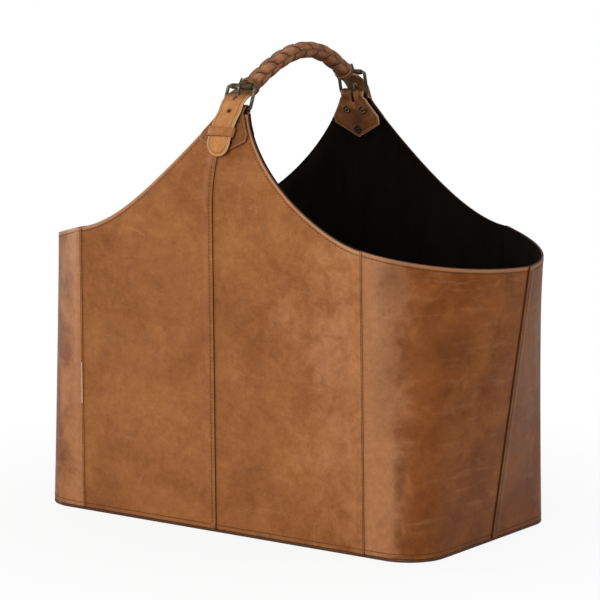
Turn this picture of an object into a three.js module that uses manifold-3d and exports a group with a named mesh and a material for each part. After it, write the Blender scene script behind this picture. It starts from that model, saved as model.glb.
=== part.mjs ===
import * as THREE from "three";
import { mergeVertices } from "three/addons/utils/BufferGeometryUtils.js";
import Module from "manifold-3d";

// Open leather magazine basket with a braided handle that is buckled to two peaks.
// Millimetres, +Z up, +X along the basket, -Y is the front, +Y the back.
// The origin is the middle of the flat underside.

// Body outline on the outer face of the leather: at the base, and at the reference height
const BASE_HALF_LENGTH = 220.9;
const BASE_HALF_DEPTH = 117.1;
const BASE_CORNER_RADIUS = 38.2;
const BASE_SEAM_X = 161.9;
const REF_HEIGHT = 270;
const REF_HALF_LENGTH = 259.8;
const REF_HALF_DEPTH = 120.4;
const REF_SEAM_X = 159.6;
const END_ROUNDNESS_SHARE = 1.59;

// Rim: low at the ends, rising at the middle of each long side to a narrow peak
const SEAM_RIM_Z = 273;
const END_RIM_Z = 254.4;
const END_RIM_BOW_SHARE = 2.2;
const PEAK_HALF_WIDTH = 16.5;
const FLANK_BOW_SHARE = 0.89;
const FLANK_FLARE_SHARE = 1.5;
const LEAN_START_Z = 300;
const FRONT_PEAK_Z = 384;
const FRONT_LEAN = 28.5;
const BACK_PEAK_Z = 388.4;
const BACK_LEAN = 18;

// Layers of the wall and the base
const LEATHER = 2.1;
const BOARD = 1.8;
const LINING = 0.9;
const LAYER_GAP = 0.3;
const BASE_LEATHER = 2.5;
const BOARD_TUCK = 3;
const BASE_CLEARANCE = 0.9;
const WALL = LEATHER + BOARD + LINING + 2 * LAYER_GAP;
const WALL_FOOT_Z = BASE_LEATHER + LAYER_GAP;

// Lap seams: one panel's edge lies raised on the skived edge of the next
const LAP = 10;
const LAP_RAISE = 0.9;
const LAP_SKIN = 1.2;
const LAP_GAP = 0.5;
const SKIVED = 1.1;
const LAP_CLEARANCE = 0.35;
const LAP_SLOPE = 1.8;
const LAP_STEP = 0.65;
const SEAM_OFFSET = 3;
const NARROWEST_COLUMN = 0.8;

// Chapes: the leather tabs that fold over the buckles' fixed bars
const CHAPE = 2;
const CHAPE_GAP = 0.5;
const CHAPE_NECK_HALF_WIDTH = 12.9;
const CHAPE_HALF_WIDTH = 26;
const CHAPE_MARGIN = 2;
const CHAPE_SHOULDER_DROP = 24;
const CHAPE_TIP_DROP = 38;
const CHAPE_SLOT_DROP = 9;
const SLOT_CLEARANCE = 0.5;
const FOLD_RISE = 3;

// Rivets through the chapes
const RIVET_HOLE_RADIUS = 1.9;
const RIVET_SHANK_RADIUS = 1.5;
const RIVET_HEAD_RADIUS = 4.2;
const RIVET_HEAD_HEIGHT = 1;
const RIVET_SPACING = 18;
const UPPER_RIVET_DROP = 10;
const LOWER_RIVET_DROP = 30;

// Roller buckles
const STRAP_WIDTH = 25;
const STRAP = 2.2;
const WIRE_RADIUS = 1.6;
const BUCKLE_INNER_HALF_WIDTH = 13.6;
const BUCKLE_PITCH = 21.3;
const BUCKLE_CORNER_RADIUS = 3;
const FRONT_BUCKLE_TILT = 22;
const BACK_BUCKLE_TILT = 15;
const BAR_SEAT_GAP = 0.3;
const ROLLER_RADIUS = 2.6;
const ROLLER_BORE_RADIUS = 1.95;
const ROLLER_SIDE_GAP = 0.5;
const PRONG_RADIUS = 1.2;
const PRONG_EYE_BORE_RADIUS = 1.95;
const PRONG_EYE_RADIUS = 3.4;
const PRONG_EYE_HALF_WIDTH = 1.5;
const PRONG_REST_GAP = 0.3;
const PRONG_TIP_REACH = 7.5;
const PRONG_TIP_DROOP = 1.6;
const CROSSING_UP = 11;
const CROSSING_OUT = 2.4;

// Straps from the handle through the buckles, and their keepers
const NECK_HALF_WIDTH = 4.2;
const NECK_LENGTH = 8;
const STRAP_FLARE_LENGTH = 9;
const HOLE_RADIUS = 2.3;
const HOLE_PITCH = 18;
const PRONG_SLOT_HALF_WIDTH = 1.9;
const PRONG_SLOT_BELOW = 6.6;
const PRONG_SLOT_ABOVE = 4;
const STRAP_TIP_DROP = 39.5;
const STRAP_TIP_RADIUS = 12.4;
const BRIDGE_UP = 4;
const BRIDGE_OUT = 7;
const BOW_DOWN = 6.5;
const BOW_OUT = 9.2;
const KEEPER_DROP = 20.2;
const KEEPER_BAND = 9;
const KEEPER_BACK = 1.2;
const KEEPER_FRONT = 1.5;
const KEEPER_CLEARANCE = 0.6;
const KEEPER_CORNER_RADIUS = 1;

// Handle: a braided sleeve over a core, with a wrapped collar at each end
const BRAID_RADIUS = 7.75;
const CORE_RADIUS = 5;
const CORE_GAP = 0.4;
const CORE_SETBACK = 9;
const COLLAR = 1.2;
const COLLAR_GAP = 0.5;
const COLLAR_LENGTH = 6;
const HANDLE_END_UP = 23;
const HANDLE_END_INSIDE = 9.8;
const HANDLE_FRONT_TILT = 30;
const HANDLE_FRONT_ARM = 61;
const HANDLE_BACK_TILT = 37;
const HANDLE_BACK_ARM = 73;

// Facets
const FRONT_COLUMNS = 7;
const END_COLUMNS = 10;
const COLUMN_CROWDING_SHARE = 1.5;
const FRONT_ROW_SHARES = [0, 0.4, 0.77, 0.84, 0.9, 0.94, 0.97, 1];
const END_ROW_SHARES = [0, 0.3, 0.65, 1];
const BASE_CORNER_SEGMENTS = 6;
const CHAPE_DROP_SHARES = [1, 0.8, 0.632, 0.45, 0.3, 0.15, 0];
const CHAPE_LEG_SHARES = [0.2, 0.5, 0.8];
const CHAPE_COLUMN_SHARES = [-1, -0.5, 0, 0.5, 1];
const CHAPE_FOLD_ROWS = 6;
const FOLD_STEPS = 8;
const STRAP_ROWS = 13;
const STRAP_TIP_SHARES = [1, 0.75, 0.5, 0.28, 0.12, 0.03];
const STRAP_COLUMN_SHARES = [-1, 0, 1];
const PRONG_STEPS = 10;
const HANDLE_STEPS = 18;
const WIRE_CORNER_STEPS = 3;
const KEEPER_CORNER_STEPS = 3;
const WIRE_SIDES = 8;
const ROUND_SIDES = 14;
const RIVET_SIDES = 8;
const TANGENT_STEP_SHARE = 0.004;
const CURVE_DIVISIONS = 600;
const CUT_OVERRUN = 20;

// The two long sides; low and high name the ends at -X and +X of each half in its own place
const SIDES = {
  front: {
    turn: 0,
    peakZ: FRONT_PEAK_Z,
    lean: FRONT_LEAN,
    tilt: FRONT_BUCKLE_TILT,
    low: "left",
    high: "right",
  },
  back: {
    turn: Math.PI,
    peakZ: BACK_PEAK_Z,
    lean: BACK_LEAN,
    tilt: BACK_BUCKLE_TILT,
    low: "right",
    high: "left",
  },
};

const LEATHER_LOOK = { color: 0x96603a, roughness: 0.55, metalness: 0 };
const END_LEATHER_LOOK = { color: 0x6b4029, roughness: 0.5, metalness: 0 };
const STRAP_LOOK = { color: 0xc08a50, roughness: 0.6, metalness: 0 };
const BRAID_LOOK = { color: 0x7c4c2c, roughness: 0.55, metalness: 0 };
const LINING_LOOK = { color: 0x1b1917, roughness: 0.95, metalness: 0 };
const BOARD_LOOK = { color: 0x9b8a70, roughness: 0.9, metalness: 0 };
const BUCKLE_LOOK = { color: 0x5d574a, roughness: 0.4, metalness: 0.9 };
const RIVET_LOOK = { color: 0x6e5c38, roughness: 0.45, metalness: 0.9 };

const wasm = await Module();
wasm.setup();

// Solids and cuts

function toSolid(geometry) {
  const plain = geometry.clone();
  plain.deleteAttribute("normal");
  plain.deleteAttribute("uv");
  const merged = mergeVertices(plain);
  const vertProperties = new Float32Array(merged.attributes.position.array);
  const triVerts = new Uint32Array(merged.index.array);
  return new wasm.Manifold(new wasm.Mesh({ numProp: 3, vertProperties, triVerts }));
}

function toGeometry(solid) {
  const mesh = solid.getMesh();
  const geometry = new THREE.BufferGeometry();
  geometry.setAttribute("position", new THREE.Float32BufferAttribute(mesh.vertProperties, 3));
  geometry.setIndex(Array.from(mesh.triVerts));
  return geometry;
}

function cutFrom(geometry, cutters) {
  let solid = toSolid(geometry);
  for (const cutter of cutters) {
    solid = solid.subtract(toSolid(cutter));
  }
  return toGeometry(solid);
}

function joined(first, second) {
  return toGeometry(toSolid(first).add(toSolid(second)));
}

// A closed slab between two sheets of points; rows by columns, the outer sheet facing out.
// Each cell is split along its flatter diagonal, alike in both sheets.
function slabGeometry(outer, inner) {
  const rows = outer.length;
  const columns = outer[0].length;
  const positions = [];
  for (const sheet of [outer, inner]) {
    for (const row of sheet) {
      row.forEach((point) => positions.push(point.x, point.y, point.z));
    }
  }
  const at = (sheet, row, column) => (sheet * rows + row) * columns + column;
  const index = [];
  const quad = (a, b, c, d) => index.push(a, b, c, a, c, d);
  for (let r = 0; r < rows - 1; r += 1) {
    for (let c = 0; c < columns - 1; c += 1) {
      const rising = Math.abs(outer[r][c].z - outer[r + 1][c + 1].z);
      const falling = Math.abs(outer[r][c + 1].z - outer[r + 1][c].z);
      const front = [at(0, r, c), at(0, r, c + 1), at(0, r + 1, c + 1), at(0, r + 1, c)];
      const back = [at(1, r, c + 1), at(1, r, c), at(1, r + 1, c), at(1, r + 1, c + 1)];
      if (rising > falling) {
        front.push(front.shift());
      } else {
        back.push(back.shift());
      }
      quad(...front);
      quad(...back);
    }
  }
  const lastRow = rows - 1;
  const lastColumn = columns - 1;
  for (let c = 0; c < lastColumn; c += 1) {
    quad(at(1, 0, c), at(1, 0, c + 1), at(0, 0, c + 1), at(0, 0, c));
    quad(at(0, lastRow, c), at(0, lastRow, c + 1), at(1, lastRow, c + 1), at(1, lastRow, c));
  }
  for (let r = 0; r < lastRow; r += 1) {
    quad(at(0, r, 0), at(0, r + 1, 0), at(1, r + 1, 0), at(1, r, 0));
    quad(at(1, r, lastColumn), at(1, r + 1, lastColumn), at(0, r + 1, lastColumn), at(0, r, lastColumn));
  }
  const geometry = new THREE.BufferGeometry();
  geometry.setAttribute("position", new THREE.Float32BufferAttribute(positions, 3));
  geometry.setIndex(index);
  return geometry;
}

// A closed ring: sections of equal count along a closed loop
function ringGeometry(sections) {
  const sides = sections[0].length;
  const positions = sections.flat().flatMap((point) => [point.x, point.y, point.z]);
  const index = [];
  sections.forEach((section, i) => {
    const next = (i + 1) % sections.length;
    for (let k = 0; k < sides; k += 1) {
      const after = (k + 1) % sides;
      const corners = [i * sides + k, next * sides + k, next * sides + after, i * sides + after];
      index.push(corners[0], corners[1], corners[2], corners[0], corners[2], corners[3]);
    }
  });
  const geometry = new THREE.BufferGeometry();
  geometry.setAttribute("position", new THREE.Float32BufferAttribute(positions, 3));
  geometry.setIndex(index);
  return geometry;
}

// A round collar or roller: a closed rectangle turned about the Y axis
function bushGeometry(bore, radius, length, sides) {
  const half = length / 2;
  const corners = [[bore, -half], [radius, -half], [radius, half], [bore, half], [bore, -half]];
  return new THREE.LatheGeometry(corners.map(([x, y]) => new THREE.Vector2(x, y)), sides);
}

function addPiece(parent, name, geometry, look) {
  const mesh = new THREE.Mesh(geometry, new THREE.MeshStandardMaterial(look));
  mesh.name = name;
  parent.add(mesh);
  return mesh;
}

// Wall shape. Position w runs along the wall of one half as a share: 0 is the middle of the
// long side, 1 its corner seam, and past the end's middle it enters the other half. The low
// side's places are the same with a minus sign.
const END_MIDDLE_SHARE = 2;
const FAR_CORNER_SHARE = 3;

class EndPlan extends THREE.Curve {
  getPoint(share, target = new THREE.Vector2()) {
    const angle = share * Math.PI / 2;
    const power = 2 / END_ROUNDNESS_SHARE;
    const reach = REF_HALF_LENGTH - REF_SEAM_X;
    return target.set(
      REF_SEAM_X + reach * Math.sin(angle) ** power,
      -REF_HALF_DEPTH * Math.max(0, Math.cos(angle)) ** power,
    );
  }
}

function baseEndPlan() {
  const path = new THREE.Path();
  const cornerX = BASE_HALF_LENGTH - BASE_CORNER_RADIUS;
  const cornerY = BASE_CORNER_RADIUS - BASE_HALF_DEPTH;
  path.moveTo(BASE_SEAM_X, -BASE_HALF_DEPTH);
  path.lineTo(cornerX, -BASE_HALF_DEPTH);
  path.absarc(cornerX, cornerY, BASE_CORNER_RADIUS, -Math.PI / 2, 0, false);
  path.lineTo(BASE_HALF_LENGTH, 0);
  return path;
}

const topEnd = new EndPlan();
const baseEnd = baseEndPlan();
const alongFront = (length) => length / REF_SEAM_X;
const alongEnd = (length) => length / topEnd.getLength();

function planPoint(w, z) {
  const crossed = Math.abs(w) > END_MIDDLE_SHARE;
  const near = crossed ? w - 2 * END_MIDDLE_SHARE * Math.sign(w) : w;
  const t = Math.abs(near);
  const straight = t <= 1;
  const base = straight ? new THREE.Vector2(t * BASE_SEAM_X, -BASE_HALF_DEPTH) : baseEnd.getPoint(t - 1);
  const top = straight ? new THREE.Vector2(t * REF_SEAM_X, -REF_HALF_DEPTH) : topEnd.getPointAt(t - 1);
  const point = base.lerp(top, z / REF_HEIGHT);
  point.x *= Math.sign(near);
  return crossed ? point.negate() : point;
}

function leanAt(side, z) {
  const share = Math.max(0, z - LEAN_START_Z) / (side.peakZ - LEAN_START_Z);
  return side.lean * share ** 2;
}

function wallPoint(side, w, z, depth) {
  const ahead = planPoint(w + TANGENT_STEP_SHARE, z);
  const tangent = ahead.sub(planPoint(w - TANGENT_STEP_SHARE, z)).normalize();
  const point = planPoint(w, z);
  return new THREE.Vector3(
    point.x - tangent.y * depth,
    point.y + tangent.x * depth + leanAt(side, z),
    z,
  );
}

function rimHeight(side, w) {
  const t = END_MIDDLE_SHARE - Math.abs(END_MIDDLE_SHARE - Math.abs(w));
  if (t > 1) {
    return END_RIM_Z + (SEAM_RIM_Z - END_RIM_Z) * (END_MIDDLE_SHARE - t) ** END_RIM_BOW_SHARE;
  }
  const share = Math.max(0, t * REF_SEAM_X - PEAK_HALF_WIDTH) / (REF_SEAM_X - PEAK_HALF_WIDTH);
  return SEAM_RIM_Z + (side.peakZ - SEAM_RIM_Z) * (1 - share ** FLANK_BOW_SHARE) ** FLANK_FLARE_SHARE;
}

function peakHalfWidthAt(side, z) {
  const rise = THREE.MathUtils.clamp((z - SEAM_RIM_Z) / (side.peakZ - SEAM_RIM_Z), 0, 1);
  const share = (1 - rise ** (1 / FLANK_FLARE_SHARE)) ** (1 / FLANK_BOW_SHARE);
  return PEAK_HALF_WIDTH + share * (REF_SEAM_X - PEAK_HALF_WIDTH);
}

// One layer of the wall over a list of columns, each with its outer and inner depth
function wallLayer(side, columns, rowShares, tuck) {
  const sheet = (depthOf) => rowShares.map((share) => columns.map((column) => {
    const rim = rimHeight(side, column.w);
    const z = WALL_FOOT_Z + share * (rim - WALL_FOOT_Z) - (share === 1 ? tuck : 0);
    return wallPoint(side, column.w, z, depthOf(column));
  }));
  return slabGeometry(sheet((column) => column.outer), sheet((column) => column.inner));
}

function frontPositions() {
  const peak = alongFront(PEAK_HALF_WIDTH);
  const right = [];
  for (let i = 0; i <= FRONT_COLUMNS; i += 1) {
    right.push(peak + (1 - peak) * (i / FRONT_COLUMNS) ** COLUMN_CROWDING_SHARE);
  }
  return [...right.map((w) => -w).reverse(), ...right];
}

function endPositions(from) {
  const places = [];
  for (let i = 0; i <= END_COLUMNS; i += 1) {
    places.push(from + i / END_COLUMNS);
  }
  return places;
}

const BASE_POSITIONS = [
  ...endPositions(-FAR_CORNER_SHARE),
  ...endPositions(-END_MIDDLE_SHARE),
  ...frontPositions(),
  ...endPositions(1),
  ...endPositions(END_MIDDLE_SHARE),
];

// Columns between two places, with extra columns kept and near neighbours left out
function columnsBetween(extra, nominal) {
  const first = extra[0].w;
  const last = extra[extra.length - 1].w;
  const narrowest = alongFront(NARROWEST_COLUMN);
  const plain = BASE_POSITIONS.filter((w) => w > first && w < last);
  const kept = plain.filter((w) => extra.every((column) => Math.abs(column.w - w) > narrowest));
  const between = kept.filter((w, i) => i === 0 || w - kept[i - 1] > narrowest);
  const columns = [...extra, ...between.map((w) => nominal(w, extra))];
  return columns.sort((a, b) => a.w - b.w);
}

// Seams: at is the raised edge, into points into the panel that lies on top
const SEAMS = {
  lowEnd: { at: -END_MIDDLE_SHARE, into: 1, along: alongEnd },
  lowCorner: { at: -1, into: -1, along: alongEnd },
  middle: { at: -alongFront(SEAM_OFFSET), into: -1, along: alongFront },
  highCorner: { at: 1, into: -1, along: alongFront },
  highEnd: { at: END_MIDDLE_SHARE, into: 1, along: alongEnd },
};

function overColumns(seam) {
  const raised = { outer: -LAP_RAISE, inner: LAP_SKIN - LAP_RAISE };
  const place = (length, depths) => ({ w: seam.at + seam.into * seam.along(length), ...depths });
  const columns = [
    place(0, raised),
    place(LAP, raised),
    place(LAP + LAP_STEP, raised),
    place(LAP + LAP_STEP + LAP_SLOPE, { outer: 0, inner: LEATHER }),
  ];
  return columns.sort((a, b) => a.w - b.w);
}

function underColumns(seam) {
  const outer = LAP_SKIN - LAP_RAISE + LAP_GAP;
  const skived = { outer, inner: outer + SKIVED };
  const place = (length, depths) => ({ w: seam.at + seam.into * seam.along(length), ...depths });
  const columns = [
    place(LAP, skived),
    place(0, skived),
    place(-LAP_CLEARANCE, skived),
    place(-LAP_CLEARANCE - LAP_STEP, { outer: 0, inner: LEATHER }),
  ];
  return columns.sort((a, b) => a.w - b.w);
}

// Depths of a plain column: those of the lap it lies in, or the full leather
function depthsAt(w, extra) {
  const before = extra.filter((column) => column.w < w).pop();
  const after = extra.find((column) => column.w > w);
  const same = before.outer === after.outer;
  return same ? { w, outer: before.outer, inner: before.inner } : { w, outer: 0, inner: LEATHER };
}

function leatherPanel(side, startColumns, endColumns, rowShares) {
  const columns = columnsBetween([...startColumns, ...endColumns], depthsAt);
  return wallLayer(side, columns, rowShares, 0);
}

function plainLayer(side, from, to, outer, thickness, rowShares, tuck) {
  const edge = (w) => ({ w, outer, inner: outer + thickness });
  const columns = columnsBetween([edge(from), edge(to)], edge);
  return wallLayer(side, columns, rowShares, tuck);
}

// The wall at the middle of a long side: its mid-line, tilt and offsets from it

function middleFrame(side, z) {
  const flare = (REF_HALF_DEPTH - BASE_HALF_DEPTH) / REF_HEIGHT;
  const above = Math.max(0, z - LEAN_START_Z) / (side.peakZ - LEAN_START_Z);
  const slope = 2 * side.lean * above / (side.peakZ - LEAN_START_Z) - flare;
  const angle = Math.atan(slope);
  const y = -BASE_HALF_DEPTH - flare * z + leanAt(side, z) + WALL / 2;
  return {
    angle,
    point: new THREE.Vector3(0, y, z),
    up: new THREE.Vector3(0, Math.sin(angle), Math.cos(angle)),
    out: new THREE.Vector3(0, -Math.cos(angle), Math.sin(angle)),
  };
}

function offsetPoint(side, z, offset) {
  const frame = middleFrame(side, z);
  return frame.point.clone().addScaledVector(frame.out, offset);
}

const halfWallAt = (side, z) => WALL / 2 * Math.cos(middleFrame(side, z).angle);
const innerChapeOffset = (side, z) => halfWallAt(side, z) + CHAPE_GAP + CHAPE / 2;
const outerChapeOffset = (side, z) => halfWallAt(side, z) + LAP_RAISE + LAYER_GAP + CHAPE / 2;
const strapTipOffset = (side, z) => outerChapeOffset(side, z) + CHAPE / 2 + LAYER_GAP + STRAP / 2;
const strapOffset = (side, z) => (
  strapTipOffset(side, z) + RIVET_HEAD_HEIGHT + LAYER_GAP + KEEPER_BACK + KEEPER_CLEARANCE / 2
);

function foldFrame(side) {
  const z = side.peakZ + FOLD_RISE;
  const frame = middleFrame(side, z);
  const radius = (outerChapeOffset(side, z) + innerChapeOffset(side, z)) / 2;
  const centre = offsetPoint(side, z, outerChapeOffset(side, z) - radius);
  const lift = radius - CHAPE / 2 - WIRE_RADIUS - BAR_SEAT_GAP;
  const bar = centre.clone().addScaledVector(frame.up, lift);
  return { ...frame, centre, radius, bar };
}

// Place up and out from the fixed bar, in the buckle's own tilt
function buckleFrame(side) {
  const tilt = THREE.MathUtils.degToRad(side.tilt);
  const bar = foldFrame(side).bar;
  const up = new THREE.Vector3(0, Math.sin(tilt), Math.cos(tilt));
  const out = new THREE.Vector3(0, -Math.cos(tilt), Math.sin(tilt));
  const at = (upward, outward) => bar.clone().addScaledVector(up, upward).addScaledVector(out, outward);
  return { tilt, bar, at };
}

// Strips: leather bands that follow a curve in the plane x = 0

// rows give each station's length along the curve as a function of the column share
function stripGeometry(curve, rows, columnShares, halfWidthAt, thickness) {
  const total = curve.getLength();
  const across = new THREE.Vector3(1, 0, 0);
  const sheet = (offset) => rows.map((lengthOf) => columnShares.map((share) => {
    const length = lengthOf(share);
    const place = THREE.MathUtils.clamp(length / total, 0, 1);
    const normal = across.clone().cross(curve.getTangentAt(place));
    const point = curve.getPointAt(place).addScaledVector(normal, offset);
    point.x = share * halfWidthAt(length, point.z);
    return point;
  }));
  return slabGeometry(sheet(thickness / 2), sheet(-thickness / 2));
}

function smoothCurve(points) {
  const curve = new THREE.CatmullRomCurve3(points, false, "centripetal");
  curve.arcLengthDivisions = CURVE_DIVISIONS;
  return curve;
}

function chapeCurve(side) {
  const fold = foldFrame(side);
  const leg = (offsetOf) => CHAPE_DROP_SHARES.map((share) => {
    const z = side.peakZ - share * CHAPE_TIP_DROP;
    return offsetPoint(side, z, offsetOf(z));
  });
  const arc = [];
  for (let i = 0; i <= FOLD_STEPS; i += 1) {
    const angle = Math.PI * i / FOLD_STEPS;
    const rim = fold.centre.clone().addScaledVector(fold.out, fold.radius * Math.cos(angle));
    arc.push(rim.addScaledVector(fold.up, fold.radius * Math.sin(angle)));
  }
  const outside = leg((z) => outerChapeOffset(side, z));
  const inside = leg((z) => -innerChapeOffset(side, z));
  return smoothCurve([...outside, ...arc, ...inside.reverse()]);
}

function chapeGeometry(side) {
  const curve = chapeCurve(side);
  const total = curve.getLength();
  const fold = foldFrame(side);
  const foldLength = Math.PI * fold.radius;
  const legLength = (total - foldLength) / 2;
  const point = CHAPE_TIP_DROP - CHAPE_SHOULDER_DROP;
  const edge = point + CHAPE_MARGIN;
  const straight = (share) => edge + share * (legLength - edge);
  const legRows = [edge, ...CHAPE_LEG_SHARES.map(straight)];
  const rows = [(share) => point * Math.abs(share)];
  legRows.forEach((length) => rows.push(() => length));
  for (let i = 0; i <= CHAPE_FOLD_ROWS; i += 1) {
    rows.push(() => legLength + foldLength * i / CHAPE_FOLD_ROWS);
  }
  legRows.reverse().forEach((length) => rows.push(() => total - length));
  rows.push((share) => total - point * Math.abs(share));
  const halfWidth = (length, z) => {
    const onWall = Math.max(CHAPE_NECK_HALF_WIDTH, peakHalfWidthAt(side, z) - CHAPE_MARGIN);
    return z > side.peakZ ? CHAPE_NECK_HALF_WIDTH : Math.min(onWall, CHAPE_HALF_WIDTH);
  };
  return stripGeometry(curve, rows, CHAPE_COLUMN_SHARES, halfWidth, CHAPE);
}

function chapeSlot(side) {
  const halfWidth = PRONG_EYE_HALF_WIDTH + SLOT_CLEARANCE;
  const height = CHAPE_SLOT_DROP + CUT_OVERRUN;
  const slot = new THREE.BoxGeometry(2 * halfWidth, 2 * CUT_OVERRUN, height);
  const bar = foldFrame(side).bar;
  slot.translate(0, bar.y, bar.z - CHAPE_SLOT_DROP + height / 2);
  return slot;
}

// Rivets

function rivetPlaces(side) {
  const upperZ = side.peakZ - UPPER_RIVET_DROP;
  const lowerZ = side.peakZ - LOWER_RIVET_DROP;
  return [
    { name: `${side.low}_rivet`, x: -RIVET_SPACING / 2, z: upperZ },
    { name: `${side.high}_rivet`, x: RIVET_SPACING / 2, z: upperZ },
    { name: "lower_rivet", x: 0, z: lowerZ },
  ];
}

function rivetPlacement(side, place) {
  const frame = middleFrame(side, place.z);
  const matrix = new THREE.Matrix4().makeRotationX(Math.PI - frame.angle);
  return matrix.setPosition(place.x, frame.point.y, frame.point.z);
}

function rivetGeometry(side, place) {
  const domeShare = 0.6;
  const shoulderShare = 0.45;
  const head = (seat, sign) => [
    new THREE.Vector2(RIVET_SHANK_RADIUS, sign * seat),
    new THREE.Vector2(RIVET_HEAD_RADIUS, sign * seat),
    new THREE.Vector2(RIVET_HEAD_RADIUS, sign * (seat + RIVET_HEAD_HEIGHT * shoulderShare)),
    new THREE.Vector2(RIVET_HEAD_RADIUS * domeShare, sign * (seat + RIVET_HEAD_HEIGHT)),
    new THREE.Vector2(0, sign * (seat + RIVET_HEAD_HEIGHT)),
  ];
  const above = CHAPE / 2 + LAYER_GAP;
  const outside = head(outerChapeOffset(side, place.z) + above, 1);
  const inside = head(innerChapeOffset(side, place.z) + above, -1);
  const profile = [...inside.reverse(), ...outside];
  return new THREE.LatheGeometry(profile, RIVET_SIDES);
}

function rivetDrills(side) {
  const radius = RIVET_HOLE_RADIUS;
  return rivetPlaces(side).map((place) => {
    const drill = new THREE.CylinderGeometry(radius, radius, CUT_OVERRUN, RIVET_SIDES);
    return drill.applyMatrix4(rivetPlacement(side, place));
  });
}

// Body panels, boards and lining of one long side

function addLongSide(group, name, side) {
  const drills = rivetDrills(side);
  const drilled = (geometry) => cutFrom(geometry, drills);
  const rows = FRONT_ROW_SHARES;
  const low = leatherPanel(side, underColumns(SEAMS.lowCorner), overColumns(SEAMS.middle), rows);
  const high = leatherPanel(side, underColumns(SEAMS.middle), overColumns(SEAMS.highCorner), rows);
  const reach = 1 - alongFront(LAYER_GAP);
  const boardDepth = LEATHER + LAYER_GAP;
  const liningDepth = boardDepth + BOARD + LAYER_GAP;
  const board = plainLayer(side, -reach, reach, boardDepth, BOARD, rows, BOARD_TUCK);
  const lining = plainLayer(side, -reach, reach, liningDepth, LINING, rows, 0);
  addPiece(group, `${name}_${side.low}_panel`, drilled(low), LEATHER_LOOK);
  addPiece(group, `${name}_${side.high}_panel`, drilled(high), LEATHER_LOOK);
  addPiece(group, `${name}_board`, drilled(board), BOARD_LOOK);
  addPiece(group, `${name}_lining`, drilled(lining), LINING_LOOK);
}

// End panels of one half, and the whole board and lining of its high end
function addEnds(group, name, side) {
  const rows = END_ROW_SHARES;
  const low = leatherPanel(side, overColumns(SEAMS.lowEnd), overColumns(SEAMS.lowCorner), rows);
  const high = leatherPanel(side, underColumns(SEAMS.highCorner), underColumns(SEAMS.highEnd), rows);
  const start = 1 + alongEnd(LAYER_GAP);
  const stop = FAR_CORNER_SHARE - alongEnd(LAYER_GAP);
  const boardDepth = LEATHER + LAYER_GAP;
  const liningDepth = boardDepth + BOARD + LAYER_GAP;
  const board = plainLayer(side, start, stop, boardDepth, BOARD, rows, BOARD_TUCK);
  const lining = plainLayer(side, start, stop, liningDepth, LINING, rows, 0);
  addPiece(group, `${side.low}_end_${name}_panel`, low, END_LEATHER_LOOK);
  addPiece(group, `${side.high}_end_${name}_panel`, high, END_LEATHER_LOOK);
  addPiece(group, `${side.high}_end_board`, board, BOARD_LOOK);
  addPiece(group, `${side.high}_end_lining`, lining, LINING_LOOK);
}

// Base: leather sole, board and lining, each a flat plate with round corners

function basePlate(inset, z, thickness) {
  const halfLength = BASE_HALF_LENGTH - inset;
  const halfDepth = BASE_HALF_DEPTH - inset;
  const radius = BASE_CORNER_RADIUS - inset;
  const shape = new THREE.Shape();
  const corners = [[1, -1], [1, 1], [-1, 1], [-1, -1]];
  corners.forEach(([right, up], i) => {
    const start = (i - 1) * Math.PI / 2;
    const x = right * (halfLength - radius);
    const y = up * (halfDepth - radius);
    shape.absarc(x, y, radius, start, start + Math.PI / 2, false);
  });
  const settings = { depth: thickness, bevelEnabled: false, curveSegments: BASE_CORNER_SEGMENTS };
  return new THREE.ExtrudeGeometry(shape, settings).translate(0, 0, z);
}

function addBase(group) {
  const inset = WALL + BASE_CLEARANCE;
  const liningZ = WALL_FOOT_Z + BOARD + LAYER_GAP;
  addPiece(group, "base_leather", basePlate(0, 0, BASE_LEATHER), END_LEATHER_LOOK);
  addPiece(group, "base_board", basePlate(inset, WALL_FOOT_Z, BOARD), BOARD_LOOK);
  addPiece(group, "base_lining", basePlate(inset, liningZ, LINING), LINING_LOOK);
}

// Chape with its rivets

function addChape(group, name, side) {
  const geometry = cutFrom(chapeGeometry(side), [chapeSlot(side), ...rivetDrills(side)]);
  addPiece(group, `${name}_chape`, geometry, LEATHER_LOOK);
  for (const place of rivetPlaces(side)) {
    const rivet = addPiece(group, `${name}_${place.name}`, rivetGeometry(side, place), RIVET_LOOK);
    rivet.applyMatrix4(rivetPlacement(side, place));
  }
}

// Buckle: frame, roller and prong in the buckle's own place, +Z up the frame and -Y outward

function wireFrameGeometry() {
  const halfWidth = BUCKLE_INNER_HALF_WIDTH + WIRE_RADIUS;
  const centres = [
    [halfWidth - BUCKLE_CORNER_RADIUS, BUCKLE_CORNER_RADIUS, -Math.PI / 2],
    [halfWidth - BUCKLE_CORNER_RADIUS, BUCKLE_PITCH - BUCKLE_CORNER_RADIUS, 0],
    [BUCKLE_CORNER_RADIUS - halfWidth, BUCKLE_PITCH - BUCKLE_CORNER_RADIUS, Math.PI / 2],
    [BUCKLE_CORNER_RADIUS - halfWidth, BUCKLE_CORNER_RADIUS, Math.PI],
  ];
  const sections = [];
  for (const [x, z, start] of centres) {
    for (let i = 0; i <= WIRE_CORNER_STEPS; i += 1) {
      const angle = start + Math.PI / 2 * i / WIRE_CORNER_STEPS;
      sections.push(wireSection(x, z, angle));
    }
  }
  return ringGeometry(sections);
}

function wireSection(x, z, angle) {
  const section = [];
  for (let k = 0; k < WIRE_SIDES; k += 1) {
    const turn = 2 * Math.PI * k / WIRE_SIDES;
    const reach = BUCKLE_CORNER_RADIUS + WIRE_RADIUS * Math.cos(turn);
    section.push(new THREE.Vector3(
      x + reach * Math.cos(angle),
      -WIRE_RADIUS * Math.sin(turn),
      z + reach * Math.sin(angle),
    ));
  }
  return section;
}

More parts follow.
